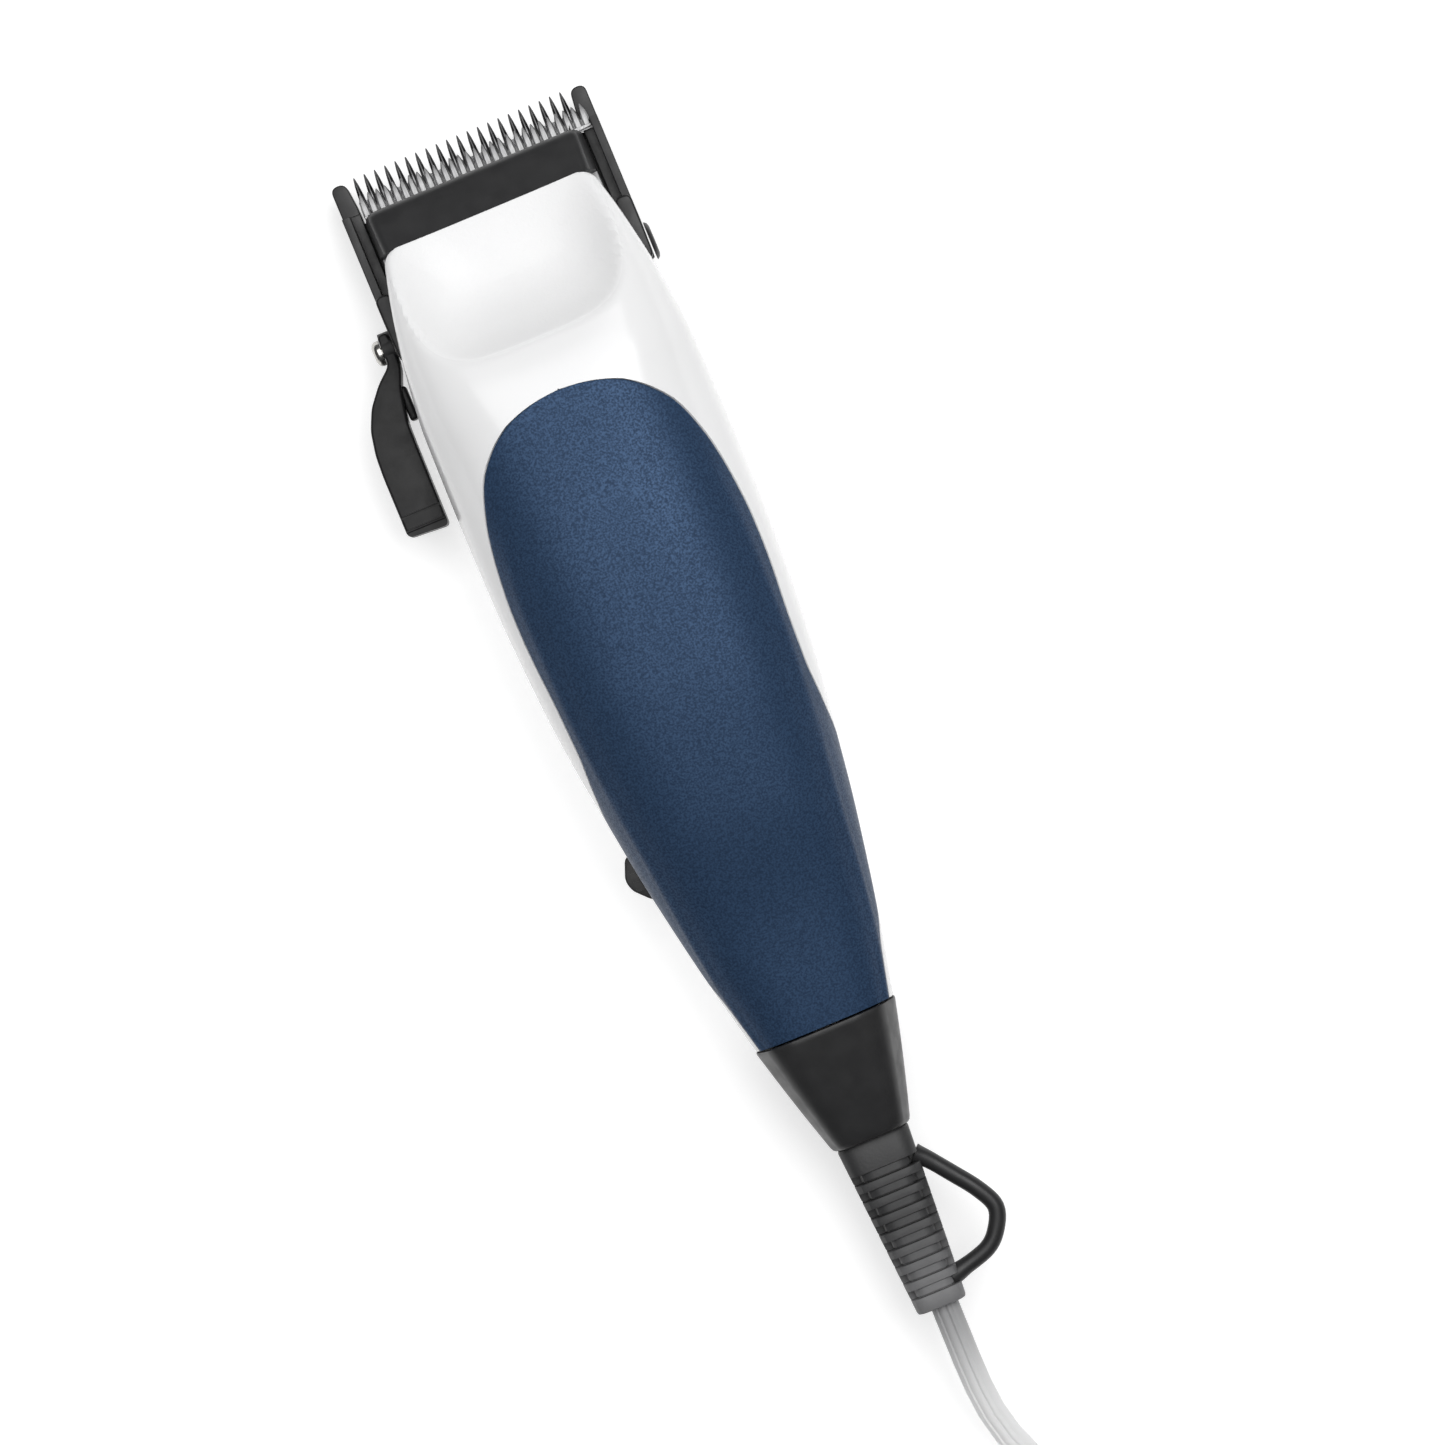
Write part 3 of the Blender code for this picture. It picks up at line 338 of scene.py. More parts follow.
def boot_material():
    """Soft grey rubber, painted paler towards the cord."""
    surface = Surface("boot_rubber", 0.55)
    # painted paleness growing towards the tail end of the boot, not a change in the rubber itself
    faded = surface.ramp(surface.axis("Y"), -0.129, -0.108, 1.0, 0.0)
    dull = surface.blend(surface.noise(1.8, 4.0), (0.020, 0.020, 0.021), (0.030, 0.030, 0.031))
    pale = surface.blend(surface.noise(1.8, 4.0), (0.165, 0.165, 0.168), (0.205, 0.205, 0.21))
    surface.colour(surface.blend(faded, dull, pale))
    surface.bump(surface.noise(0.5, 3.0), 0.03)
    return surface.material


def cord_material():
    """Flexible sheath, mid grey at the boot and pale grey further on."""
    surface = Surface("cord_sheath_soft", 0.5)
    pale = surface.ramp(surface.axis("Y"), -0.147, -0.122, 1.0, 0.0)
    near = surface.blend(surface.noise(2.5, 4.0), (0.20, 0.20, 0.205), (0.25, 0.25, 0.255))
    far = surface.blend(surface.noise(2.5, 4.0), (0.84, 0.84, 0.84), (0.89, 0.89, 0.89))
    surface.colour(surface.blend(pale, near, far))
    surface.bump(surface.noise(0.7, 3.0), 0.03)
    return surface.material


def ground_steel(name, dark, light, roughness, along="X", tips=None):
    """Steel ground one way, with fine scratches; tips is (start, end, share) for teeth that dull."""
    surface = Surface(name, roughness, 1.0)
    scales = {"X": (0.06, 1.0, 1.0), "Y": (1.0, 0.06, 1.0), "Z": (1.0, 1.0, 0.06)}[along]
    lines = surface.noise(0.16, 3.0, surface.stretched(*scales))
    patches = surface.noise(5.0, 3.0)
    tone = surface.math("ADD", surface.math("MULTIPLY", lines, 0.7), surface.math("MULTIPLY", patches, 0.3))
    ground = surface.blend(surface.ramp(tone, 0.3, 0.7), dark, light)
    if tips:
        start, end, share = tips
        dulled = surface.ramp(surface.axis("Y"), start * METRE, end * METRE)
        tip_dark, tip_light = [tuple(part * share for part in tone_colour) for tone_colour in (dark, light)]
        worn = surface.blend(surface.ramp(tone, 0.3, 0.7), tip_dark, tip_light)
        ground = surface.blend(dulled, ground, worn)
    surface.colour(ground)
    surface.roughness(surface.ramp(lines, 0.3, 0.7, roughness * 0.8, roughness * 1.25))
    surface.bump(lines, 0.006)
    return surface.material


def turned_steel(name, colour, roughness):
    """Plated screw metal with faint blotches."""
    surface = Surface(name, roughness, 1.0)
    darker = tuple(part * 0.72 for part in colour)
    surface.colour(surface.blend(surface.noise(1.1, 4.0), darker, colour))
    surface.roughness(surface.ramp(surface.noise(0.7, 3.0), 0.3, 0.7, roughness * 0.8, roughness * 1.3))
    surface.bump(surface.noise(0.4, 2.0), 0.008)
    return surface.material


def striped(name, letter, pitch, low, high, roughness, metallic, depth):
    """Layers stacked along one axis: laminations, or the turns of a winding."""
    surface = Surface(name, roughness, metallic)
    phase = surface.math("MULTIPLY", surface.axis(letter), 2 * math.pi / (pitch * METRE))
    layer = surface.math("ABSOLUTE", surface.math("SINE", phase))
    uneven = surface.noise(2.0, 3.0)
    tone = surface.math("MULTIPLY", layer, surface.ramp(uneven, 0.2, 0.8, 0.7, 1.0))
    surface.colour(surface.blend(tone, low, high))
    surface.bump(layer, depth)
    return surface.material



# ---------------------------------------------------------------- building blocks

def from_bmesh(name, bm, material):
    mesh = bpy.data.meshes.new(name)
    bmesh.ops.scale(bm, vec=(METRE, METRE, METRE), verts=bm.verts)
    bm.to_mesh(mesh)
    bm.free()
    obj = bpy.data.objects.new(name, mesh)
    bpy.context.scene.collection.objects.link(obj)
    if material:
        mesh.materials.append(material)
    return obj


def smooth(obj, angle=32):
    obj.data.shade_smooth()
    obj.data.set_sharp_from_angle(angle=math.radians(angle))
    return obj


def apply_modifiers(obj):
    """Makes the object's modifiers part of its mesh."""
    bpy.context.view_layer.update()
    graph = bpy.context.evaluated_depsgraph_get()
    made = bpy.data.meshes.new_from_object(obj.evaluated_get(graph))
    obj.modifiers.clear()
    obj.data = made
    return obj


def combine(target, operation, *tools):
    """Boolean with closed tools, which are then gone."""
    for tool in tools:
        modifier = target.modifiers.new(operation, "BOOLEAN")
        modifier.operation = operation
        modifier.solver = "MANIFOLD"
        modifier.object = tool
        apply_modifiers(target)
        bpy.data.objects.remove(tool, do_unlink=True)
    return target


def cut(target, *tools):
    return combine(target, "DIFFERENCE", *tools)


def fuse(target, *tools):
    return combine(target, "UNION", *tools)


def repaint(obj, material):
    """One material on the whole piece, whatever its cutting tools brought with them."""
    obj.data.materials.clear()
    obj.data.materials.append(material)


def round_edges(obj, width, segments=3, angle=40):
    bevel = obj.modifiers.new("rounding", "BEVEL")
    bevel.width = width * METRE
    bevel.segments = segments
    bevel.limit_method = "ANGLE"
    bevel.angle_limit = math.radians(angle)
    bevel.harden_normals = False
    return apply_modifiers(obj)


def join_rings(bm, rings, closed=True):
    """Faces between each ring or row of vertices and the next."""
    count = len(rings[0])
    for near, far in zip(rings, rings[1:]):
        for i in range(count if closed else count - 1):
            j = (i + 1) % count
            bm.faces.new((near[i], far[i], far[j], near[j]))


def loft(name, rings, material, closed=True, capped=True):
    """A surface through rings or rows of points that run from tail to head."""
    bm = bmesh.new()
    made = [[bm.verts.new(point) for point in ring] for ring in rings]
    join_rings(bm, made, closed)
    if closed and capped:
        bm.faces.new(made[0])
        bm.faces.new(list(reversed(made[-1])))
    bmesh.ops.remove_doubles(bm, verts=bm.verts, dist=0.0005)
    return smooth(from_bmesh(name, bm, material))


def thicken(obj, thickness):
    wall = obj.modifiers.new("wall", "SOLIDIFY")
    wall.thickness = thickness * METRE
    wall.offset = -1
    wall.use_even_offset = True
    return apply_modifiers(obj)


def block(name, low, high, material=None, rounding=0.0, segments=3):
    corners = [(low[0], low[1]), (high[0], low[1]), (high[0], high[1]), (low[0], high[1])]
    return slab(name, corners, low[2], high[2], material, rounding, segments)


def slab(name, outline, low, high, material=None, rounding=0.0, segments=3):
    """A flat piece between two heights, with its edges rounded."""
    bm = bmesh.new()
    bottom = bm.faces.new([bm.verts.new((x, y, low)) for x, y in outline])
    top = bmesh.ops.extrude_face_region(bm, geom=[bottom])["geom"]
    moved = [part for part in top if isinstance(part, bmesh.types.BMVert)]
    bmesh.ops.translate(bm, vec=(0, 0, high - low), verts=moved)
    bmesh.ops.recalc_face_normals(bm, faces=bm.faces)
    obj = from_bmesh(name, bm, material)
    if rounding:
        round_edges(obj, rounding, segments)
    return smooth(obj)


def rounded(outline, radius, steps=5):
    """The outline with each corner turned into an arc."""
    points = []
    count = len(outline)
    for i, corner in enumerate(outline):
        here = Vector(corner)
        before = Vector(outline[i - 1]) - here
        after = Vector(outline[(i + 1) % count]) - here
        reach = min(radius, before.length / 2.05, after.length / 2.05)
        start, end = here + before.normalized() * reach, here + after.normalized() * reach
        for step in range(steps + 1):
            t = step / steps
            points.append(tuple((1 - t) ** 2 * start + 2 * t * (1 - t) * here + t * t * end))
    return points


def rod(name, start, end, radius, material=None, sides=48, far_radius=None):
    start, end = Vector(start), Vector(end)
    turn = Vector((0, 0, 1)).rotation_difference(end - start).to_matrix().to_4x4()
    bm = bmesh.new()
    bmesh.ops.create_cone(
        bm, cap_ends=True, segments=sides, radius1=radius, radius2=far_radius or radius,
        depth=(end - start).length, matrix=Matrix.Translation((start + end) / 2) @ turn,
    )
    return smooth(from_bmesh(name, bm, material))


def turned(name, profile, base, direction, material=None, sides=48):
    """A piece turned about an axis, from (radius, height) pairs listed from its top down."""
    turn = Vector((0, 0, 1)).rotation_difference(Vector(direction)).to_matrix()
    rings = []
    for radius, height in profile:
        angles = [2 * math.pi * i / sides for i in range(sides)]
        flat = [(radius * math.cos(angle), radius * math.sin(angle), height) for angle in angles]
        rings.append([Vector(base) + turn @ Vector(point) for point in flat])
    return loft(name, rings, material, capped=False)


def smooth_path(points, spacing):
    """Points on a smooth curve through the given ones, about `spacing` apart."""
    points = [Vector(point) for point in points]
    padded = [2 * points[0] - points[1], *points, 2 * points[-1] - points[-2]]
    path = []
    for before, a, b, after in zip(padded, padded[1:], padded[2:], padded[3:]):
        steps = max(1, round((b - a).length / spacing))
        for step in range(steps):
            t = step / steps
            bend = 2 * a + (b - before) * t + (2 * before - 5 * a + 4 * b - after) * t * t
            path.append((bend + (3 * a - before - 3 * b + after) * t ** 3) / 2)
    path.append(points[-1])
    return path


def sweep(name, path, section, material, upright=(0, 0, 1)):
    """A section carried along a path; section(share) gives (side, up) pairs at that share of it."""
    rings = []
    for i, point in enumerate(path):
        along = (path[min(i + 1, len(path) - 1)] - path[max(i - 1, 0)]).normalized()
        side = along.cross(Vector(upright)).normalized()
        lift = side.cross(along)
        pairs = section(i / (len(path) - 1))
        rings.append([point + side * across + lift * up for across, up in pairs])
    obj = loft(name, rings, material)
    bm = bmesh.new()
    bm.from_mesh(obj.data)
    bmesh.ops.recalc_face_normals(bm, faces=bm.faces)
    bm.to_mesh(obj.data)
    bm.free()
    return smooth(obj)


def oval(width, height, roundness=2.0, count=24):
    turns = [2 * math.pi * i / count for i in range(count)]
    return [superellipse(turn, width, height, roundness) for turn in turns]


def between(stations, y):
    """Value at y on a smooth curve through (y, value) stations that never overshoots them."""
    ys = [station[0] for station in stations]
    values = [station[1] for station in stations]
    i = min(max(bisect.bisect_right(ys, y) - 1, 0), len(ys) - 2)
    slopes = [
        (values[k + 1] - values[k]) / (ys[k + 1] - ys[k]) for k in range(len(ys) - 1)
    ]

    def tangent(k):
        if k == 0 or k == len(ys) - 1:
            return slopes[min(k, len(slopes) - 1)]
        if slopes[k - 1] * slopes[k] <= 0:
            return 0.0
        return 2 * slopes[k - 1] * slopes[k] / (slopes[k - 1] + slopes[k])

    span = ys[i + 1] - ys[i]
    t = min(max((y - ys[i]) / span, 0.0), 1.0)
    rise = values[i + 1] - values[i]
    start, end = tangent(i) * span, tangent(i + 1) * span
    return values[i] + t * (start + t * (3 * rise - 2 * start - end + t * (start + end - 2 * rise)))


def superellipse(angle, width, height, roundness):
    """Point at a polar angle on a superellipse."""
    across = abs(math.cos(angle) / width) ** roundness
    up = abs(math.sin(angle) / height) ** roundness
    reach = (across + up) ** (-1 / roundness)
    return reach * math.cos(angle), reach * math.sin(angle)


def spread(start, end, count):
    return [start + (end - start) * i / (count - 1) for i in range(count)]


def piece(obj, body, slot, *nodes):
    """Sets a finished piece on its body, in place of the CAD nodes it stands for."""
    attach(obj, body)
    if nodes:
        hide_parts(*nodes)
    return obj


# ---------------------------------------------------------------- cord, boot and plug

# (degrees turned since the cord joins the coil, radius, height)
COIL_PLAN = [
    (0, COIL_OUTER, COIL_LAYERS[0]), (60, COIL_OUTER, COIL_LAYERS[0]),
    (1140, COIL_INNER, COIL_LAYERS[0]), (1290, COIL_INNER, COIL_LAYERS[1]),
    (1380, COIL_INNER, COIL_LAYERS[1]), (2460, COIL_OUTER, COIL_LAYERS[1]),
    (2580, COIL_OUTER, COIL_LAYERS[2]), (2700, COIL_OUTER, COIL_LAYERS[2]),
    (3780, COIL_INNER, COIL_LAYERS[2]), (3930, COIL_INNER + 0.6, 16.4), (4086, 28.8, 17.3),
]
RIB_GROOVES = (-1.15, 0.1, 1.3)
TIE_SECTION = [(-3.0, 0.05), (-2.7, 0.3), (2.7, 0.3), (3.0, 0.05), (2.7, -0.2), (-2.7, -0.2)]
BOOT_RIB_PITCH = 3.04
BOOT_RIBS_START = -100.2
BOOT_RIBS = 8


def straight(stations, turned_by):
    """Value on straight lines between (degrees, value) stations."""
    for (a, low), (b, high) in zip(stations, stations[1:]):
        if turned_by <= b:
            return low + (high - low) * (turned_by - a) / (b - a)
    return stations[-1][1]


def coil_points():
    """The wound length: three layers that spiral in, out and in, clockwise from above."""
    radii = [(turned_by, radius) for turned_by, radius, _ in COIL_PLAN]
    heights = [(turned_by, height) for turned_by, _, height in COIL_PLAN]
    points = []
    for turned_by in range(0, COIL_PLAN[-1][0] - 8, 15):
        angle = -math.radians(turned_by)
        radius = straight(radii, turned_by)
        x = COIL_CENTRE[0] + radius * math.cos(angle)
        y = COIL_CENTRE[1] + radius * math.sin(angle)
        points.append((x, y, between(heights, turned_by)))
    return points


def cord_path():
    start = (CORD_ROUTE[0][0], BOOT_TAIL + 1.0, BOOT_Z[1])
    reach = COIL_CENTRE[0] + COIL_OUTER
    joining = [
        (reach - 7.5 * share ** 1.6, COIL_CENTRE[1] + 30 * share, COIL_LAYERS[0])
        for share in (0.63, 0.43, 0.22)
    ]
    end = (PLUG_X, PLUG_Y[0] + 1.5, TAIL_ROUTE[-1][2])
    route = [start, *CORD_ROUTE, *joining, *coil_points(), *TAIL_ROUTE, end]
    return smooth_path(route, 6.0)


def ribbed_section(share):
    """Sheath of a three-core cord: rounded, with a groove between its cores above and below."""
    pairs = []
    for across, up in oval(CORD_WIDTH / 2, CORD_HEIGHT / 2, 2.3, 40):
        groove = sum(math.exp(-((across - middle) / 0.2) ** 2) for middle in RIB_GROOVES)
        pairs.append((across, up * (1 - 0.14 * min(groove, 1.0))))
    return pairs


def build_cord():
    path = cord_path()
    cord = sweep("mains_cord", path, ribbed_section, cord_material())
    piece(cord, "housing", "cord_sheath", "cord_run", "cord_coil", "cord_tail")
    build_plug()
    build_tie()


def build_tie():
    """A woven strap pulled round the bundle and the cord that leaves it."""
    centre_x, centre_y = COIL_CENTRE
    around = [
        (18.9, 1.0), (28.0, 0.6), (38.8, 1.0), (39.2, 7.0), (38.4, 13.6), (34.0, 16.6),
        (30.2, 19.2), (27.6, 20.0), (25.0, 19.2), (21.5, 16.4), (18.6, 13.4), (18.3, 7.0),
    ]
    loop = [(centre_x, centre_y - radius, z) for radius, z in around]
    path = smooth_path([*loop, loop[0]], 1.2)[:-1]
    bm = bmesh.new()
    middle = sum(path, Vector()) / len(path)
    rings = []
    for i, point in enumerate(path):
        along = (path[(i + 1) % len(path)] - path[i - 1]).normalized()
        out = Vector((1, 0, 0)).cross(along).normalized()
        if out.dot(point - middle) < 0:
            out = -out
        rings.append([bm.verts.new(point + Vector((x, 0, 0)) + out * z) for x, z in TIE_SECTION])
    join_rings(bm, rings + rings[:1])
    bmesh.ops.recalc_face_normals(bm, faces=bm.faces)
    tie = smooth(from_bmesh("tie_strap", bm, TIE_CLOTH), 50)
    low = (centre_x - 4.0, centre_y - 33.6, 16.7)
    high = (centre_x + 4.0, centre_y - 30.6, 19.1)
    buckle = block("tie_buckle", low, high, BLACK_SATIN, 0.5)
    buckle.parent = tie
    return piece(tie, "housing", "tie_plastic", "cord_tie")


def build_plug():
    """A moulded two-pin plug with a ribbed neck and waisted sides."""
    middle = (PLUG_Z[0] + PLUG_Z[1]) / 2
    tail, face = PLUG_Y
    width = [
        (0.0, 3.3), (0.28, 4.3), (0.36, 5.6), (0.46, 9.0), (0.6, 9.7), (0.74, 9.3), (0.92, 10.4),
        (1.0, 10.4),
    ]
    height = [(0.0, 3.3), (0.28, 4.2), (0.36, 4.9), (0.46, 6.3), (0.6, 6.6), (1.0, 6.75)]
    rings = []
    shares = sorted(set(spread(0.0, 1.0, 71)) | {0.985, 0.994})
    for share in shares:
        y = tail + (face - tail) * share
        neck = 0.10 * (math.cos(2 * math.pi * share / 0.055) < -0.1) if 0.02 < share < 0.3 else 0.0
        edge = 0.9 * max(0.0, (share - 0.96) / 0.04) ** 2
        across = between(width, share) * (1 - neck) - edge
        up = between(height, share) * (1 - neck) - edge
        roundness = 2.2 + 1.4 * min(max((share - 0.3) / 0.2, 0.0), 1.0)
        rings.append([(PLUG_X + x, y, middle + z) for x, z in oval(across, up, roundness, 48)])
    plug = loft("mains_plug", rings, BLACK_SATIN)
    return piece(plug, "housing", "plug_plastic", "plug_body")


def boot_ring(y, wide, tall, notch):
    """Section of the strain relief; notch narrows its face above and below the side rails."""
    share = (CAP_TAIL - GAP - y) / (CAP_TAIL - GAP - BOOT_TAIL)
    half = (6.35 - 2.0 * share) * wide
    rise = (4.75 - 1.0 * share) * tall
    middle = BOOT_Z[0] + (BOOT_Z[1] - BOOT_Z[0]) * share
    face = half * notch
    ring = []
    for side, lift in ((1, 1), (-1, 1), (-1, -1), (1, -1)):
        quarter = []
        for turn in spread(0.0, math.pi / 2, 8):
            x, z = superellipse(turn, face, rise, 4.0)
            quarter.append((side * x, y, middle + lift * (0.14 * rise + z * 0.86)))
        quarter.insert(0, (side * half, y, middle + lift * 0.12 * rise))
        ring += quarter if side == lift else quarter[::-1]
    return ring


def build_boot():
    rings = [
        boot_ring(-91.0, 0.8, 0.95, 1.0), boot_ring(-92.6, 0.8, 0.95, 1.0),
        boot_ring(-92.62, 0.7, 0.72, 1.0), boot_ring(CAP_TAIL - 0.05, 0.7, 0.72, 1.0),
        boot_ring(CAP_TAIL - 0.1, 0.97, 0.96, 1.0), boot_ring(CAP_TAIL - 0.5, 1.0, 1.0, 1.0),
    ]
    for rib in range(BOOT_RIBS):
        y = BOOT_RIBS_START - rib * BOOT_RIB_PITCH
        rings += [
            boot_ring(y, 1.0, 1.0, 1.0), boot_ring(y - 0.12, 1.0, 0.93, 0.74),
            boot_ring(y - 1.3, 1.0, 0.955, 0.75), boot_ring(y - 1.34, 0.99, 0.76, 0.72),
            boot_ring(y - 1.62, 0.99, 0.76, 0.72), boot_ring(y - 1.68, 1.0, 0.985, 0.985),
            boot_ring(y - 1.8, 1.0, 1.0, 1.0),
        ]
    rings += [
        boot_ring(BOOT_TAIL + 0.5, 1.0, 1.0, 1.0), boot_ring(BOOT_TAIL + 0.1, 0.97, 0.96, 1.0),
        boot_ring(BOOT_TAIL, 0.9, 0.9, 1.0), boot_ring(BOOT_TAIL, 0.5, 0.5, 1.0),
    ]
    boot = loft("strain_relief", rings, boot_material())
    return piece(boot, "housing", "grey_rubber", "cord_boot")


def build_hanging_loop():
    route = [
        (5.4, -100.6, 14.8), (7.2, -102.4, 14.8), (9.9, -105.9, 14.8), (13.0, -110.2, 14.7),
        (14.6, -114.0, 14.6), (13.2, -117.5, 14.5), (10.5, -120.0, 14.4), (5.1, -121.6, 14.3),
        (3.4, -122.0, 14.3),
    ]

    def section(share):
        root = max(0.0, 1 - min(share, 1 - share) / 0.14)
        return oval(1.45 + 0.35 * root ** 2, 1.45 + 0.5 * root ** 2, 2.0, 28)

    path = smooth_path(route, 0.7)
    loop = sweep("hang_loop", path, section, BLACK_SATIN)
    return piece(loop, "housing", "black_plastic", "hanging_loop")


def cap_ring(y, inset=0.0):
    """Section of the tail cap: a broad top face with a bevelled facet down each side."""
    share = (BODY_TAIL - GAP - y) / (BODY_TAIL - GAP - CAP_TAIL)
    half = 12.6 - 5.65 * share + 0.15 * math.sin(math.pi * share) - inset
    rise = 11.3 - 4.7 * share + 0.2 * math.sin(math.pi * share) - inset
    middle = 16.0 - share
    side = [(half, -0.25), (half, 0.22), (0.80 * half, 0.86), (0.55 * half, 1.0)]
    under = [(0.62 * half, -1.0), (0.9 * half, -0.8)]
    right = under + side
    outline = [(x, z * rise) for x, z in right] + [(-x, z * rise) for x, z in reversed(right)]
    return [(x, y, middle + z) for x, z in rounded(outline, 2.2 if inset == 0 else 1.0, 5)]


def build_end_cap():
    front, tail = BODY_TAIL - GAP, CAP_TAIL
    rings = [cap_ring(front - 1.0, 1.7), cap_ring(front, 1.5), cap_ring(front, 0.35)]
    rings += [cap_ring(front - 0.1, 0.12), cap_ring(front - 0.35)]
    rings += [cap_ring(y) for y in spread(front - 1.0, tail + 0.9, 16)]
    rings += [cap_ring(tail + 0.35, 0.1), cap_ring(tail + 0.08, 0.35), cap_ring(tail, 0.7)]
    rings += [cap_ring(tail, 1.9), cap_ring(tail + 1.4, 2.0)]
    bm = bmesh.new()
    made = [[bm.verts.new(point) for point in ring] for ring in rings]
    join_rings(bm, made + made[:1])
    bmesh.ops.recalc_face_normals(bm, faces=bm.faces)
    cap = smooth(from_bmesh("tail_cap", bm, BLACK_SATIN))
    return piece(cap, "housing", "black_plastic", "end_cap")


# ---------------------------------------------------------------- body surface

INLAY_SHOULDER = 36.2
# How far from the middle the crease along each side of the grip lies
INLAY_CREASE = [
    (-74.5, 11.2), (-65.0, 13.3), (-55.0, 14.8), (-40.0, 16.3), (-25.0, 18.0), (-10.0, 19.0),
    (5.0, 19.2), (20.0, 18.0),
]
CREASE_RISE = [(-74.5, 0.28), (-10.0, 0.3), (8.0, 0.2), (22.0, 0.0)]
SIDE_COLUMNS = 40
RECESS_COLUMNS = 60


def soft_min(a, b, rounding):
    """The lower of two heights, with the edge between them rounded off."""
    near = max(rounding - abs(a - b), 0.0) / rounding
    return min(a, b) - rounding * near ** 2 / 4


def scoop_height(x, y):
    """Floor of the thumb scoop behind the nose, which climbs to its rim."""
    back = max(BODY_FRONT + 0.6 - y, 0.0) / SCOOP_LENGTH
    rim = ((x / SCOOP_HALF_WIDTH) ** 4 + back ** 4) ** 0.25
    return SCOOP_FLOOR + (1.5 + 13.0 * back) * rim ** 3


def half_width(y):
    """Half the body's width, drawn in round the front corners."""
    into = max(FRONT_CORNER - (BODY_FRONT - y), 0.0)
    corner = FRONT_CORNER - math.sqrt(max(FRONT_CORNER ** 2 - into ** 2, 0.0))
    return between(HALF_WIDTH, y) - 0.8 * corner


def body_point(y, angle, inset=0.0):
    """Outside of the body at one station; angle 0 is the right side and 90 degrees the crown."""
    width = half_width(y) - inset
    middle = between(PARTING, y)
    if math.sin(angle) >= 0:
        height = between(CROWN, y) - inset - middle
        x, z = superellipse(angle, width, height, between(UPPER_ROUNDNESS, y))
        z = soft_min(middle + z, scoop_height(x, y) - inset, SCOOP_LIP)
    else:
        height = middle - between(KEEL, y) - inset
        x, z = superellipse(angle, width, height, LOWER_ROUNDNESS)
        z = max(middle + z, inset)
    return x, y, z


def angle_at(y, x):
    """Polar angle of the upper surface over a given x."""
    width = half_width(y)
    height = between(CROWN, y) - between(PARTING, y)
    roundness = between(UPPER_ROUNDNESS, y)
    rise = height * (1 - min(x / width, 1.0) ** roundness) ** (1 / roundness)
    return math.atan2(rise, x)


def inlay_edge(y, grow=0.0):
    """Polar angle of the inlay's right edge, or of an edge grown outside it."""
    side = between(HALF_WIDTH, y)
    if y < INLAY_SHOULDER:
        half = side - between(INLAY_MARGIN, y)
    else:
        shoulder = between(HALF_WIDTH, INLAY_SHOULDER) - between(INLAY_MARGIN, INLAY_SHOULDER)
        left = max(INLAY_APEX - y, 0.0) / (INLAY_APEX - INLAY_SHOULDER)
        half = shoulder * math.sqrt(left)
    past = min(max(y - INLAY_APEX, 0.0) / grow, 1.0) if grow else 0.0
    grown = grow / side * math.sqrt(1 - past ** 2)
    return max(angle_at(y, half), INLAY_LOWEST) - grown


def inlay_stations(end):
    """Stations along the inlay, closer together towards its rounded front end."""
    body = spread(BODY_TAIL, INLAY_SHOULDER - 3.0, 72)
    reach = end - body[-1]
    return body + [end - reach * (1 - step / 18) ** 2 for step in range(1, 19)]


def upper_rows():
    """Rows of the upper housing, tail to nose: (right strip, recess floor or nothing, left strip)."""
    seam = GAP / 2 / between(HALF_WIDTH, 0)
    apex = INLAY_APEX + INLAY_SEAM
    stations = [(y, 0.0) for y in inlay_stations(apex)]
    stations += [(y, 0.0) for y in spread(apex, BODY_FRONT - FRONT_CORNER, 54)[1:]]
    for step in range(1, 8):
        stations.append((BODY_FRONT - FRONT_CORNER * (1 - math.sin(math.pi / 2 * step / 7)), 0.0))
    stations += [(BODY_FRONT + 0.12, 0.12), (BODY_FRONT + 0.15, 0.4), (BODY_FRONT + 0.15, 2.6)]
    rows = []
    for y, inset in stations:
        edge = inlay_edge(y, INLAY_SEAM) if y < apex else math.pi / 2
        right = [body_point(y, angle, inset) for angle in spread(seam, edge, SIDE_COLUMNS)]
        left = [(-x, there, z) for x, there, z in reversed(right)]
        floor = []
        if y <= apex:
            sunk = INLAY_DEPTH + 0.3
            floor = [body_point(y, angle, sunk) for angle in spread(edge, math.pi - edge, RECESS_COLUMNS)]
        rows.append((right, floor, left))
    return rows


def build_upper_housing():
    bm = bmesh.new()
    made = [[[bm.verts.new(point) for point in part] for part in row] for row in upper_rows()]
    for near, far in zip(made, made[1:]):
        if far[1]:
            lines = [(near[0] + near[1] + near[2], far[0] + far[1] + far[2])]
        else:
            lines = [(near[0], far[0]), (near[2], far[2])]
        for first, second in lines:
            join_rings(bm, (first, second), closed=False)
    bmesh.ops.remove_doubles(bm, verts=bm.verts, dist=0.0005)
    bmesh.ops.dissolve_degenerate(bm, edges=bm.edges, dist=0.0001)
    shell = thicken(from_bmesh("body_upper", bm, white_housing_material()), SHELL)
    return piece(smooth(shell, 40), "housing", "white_plastic", "upper_housing")


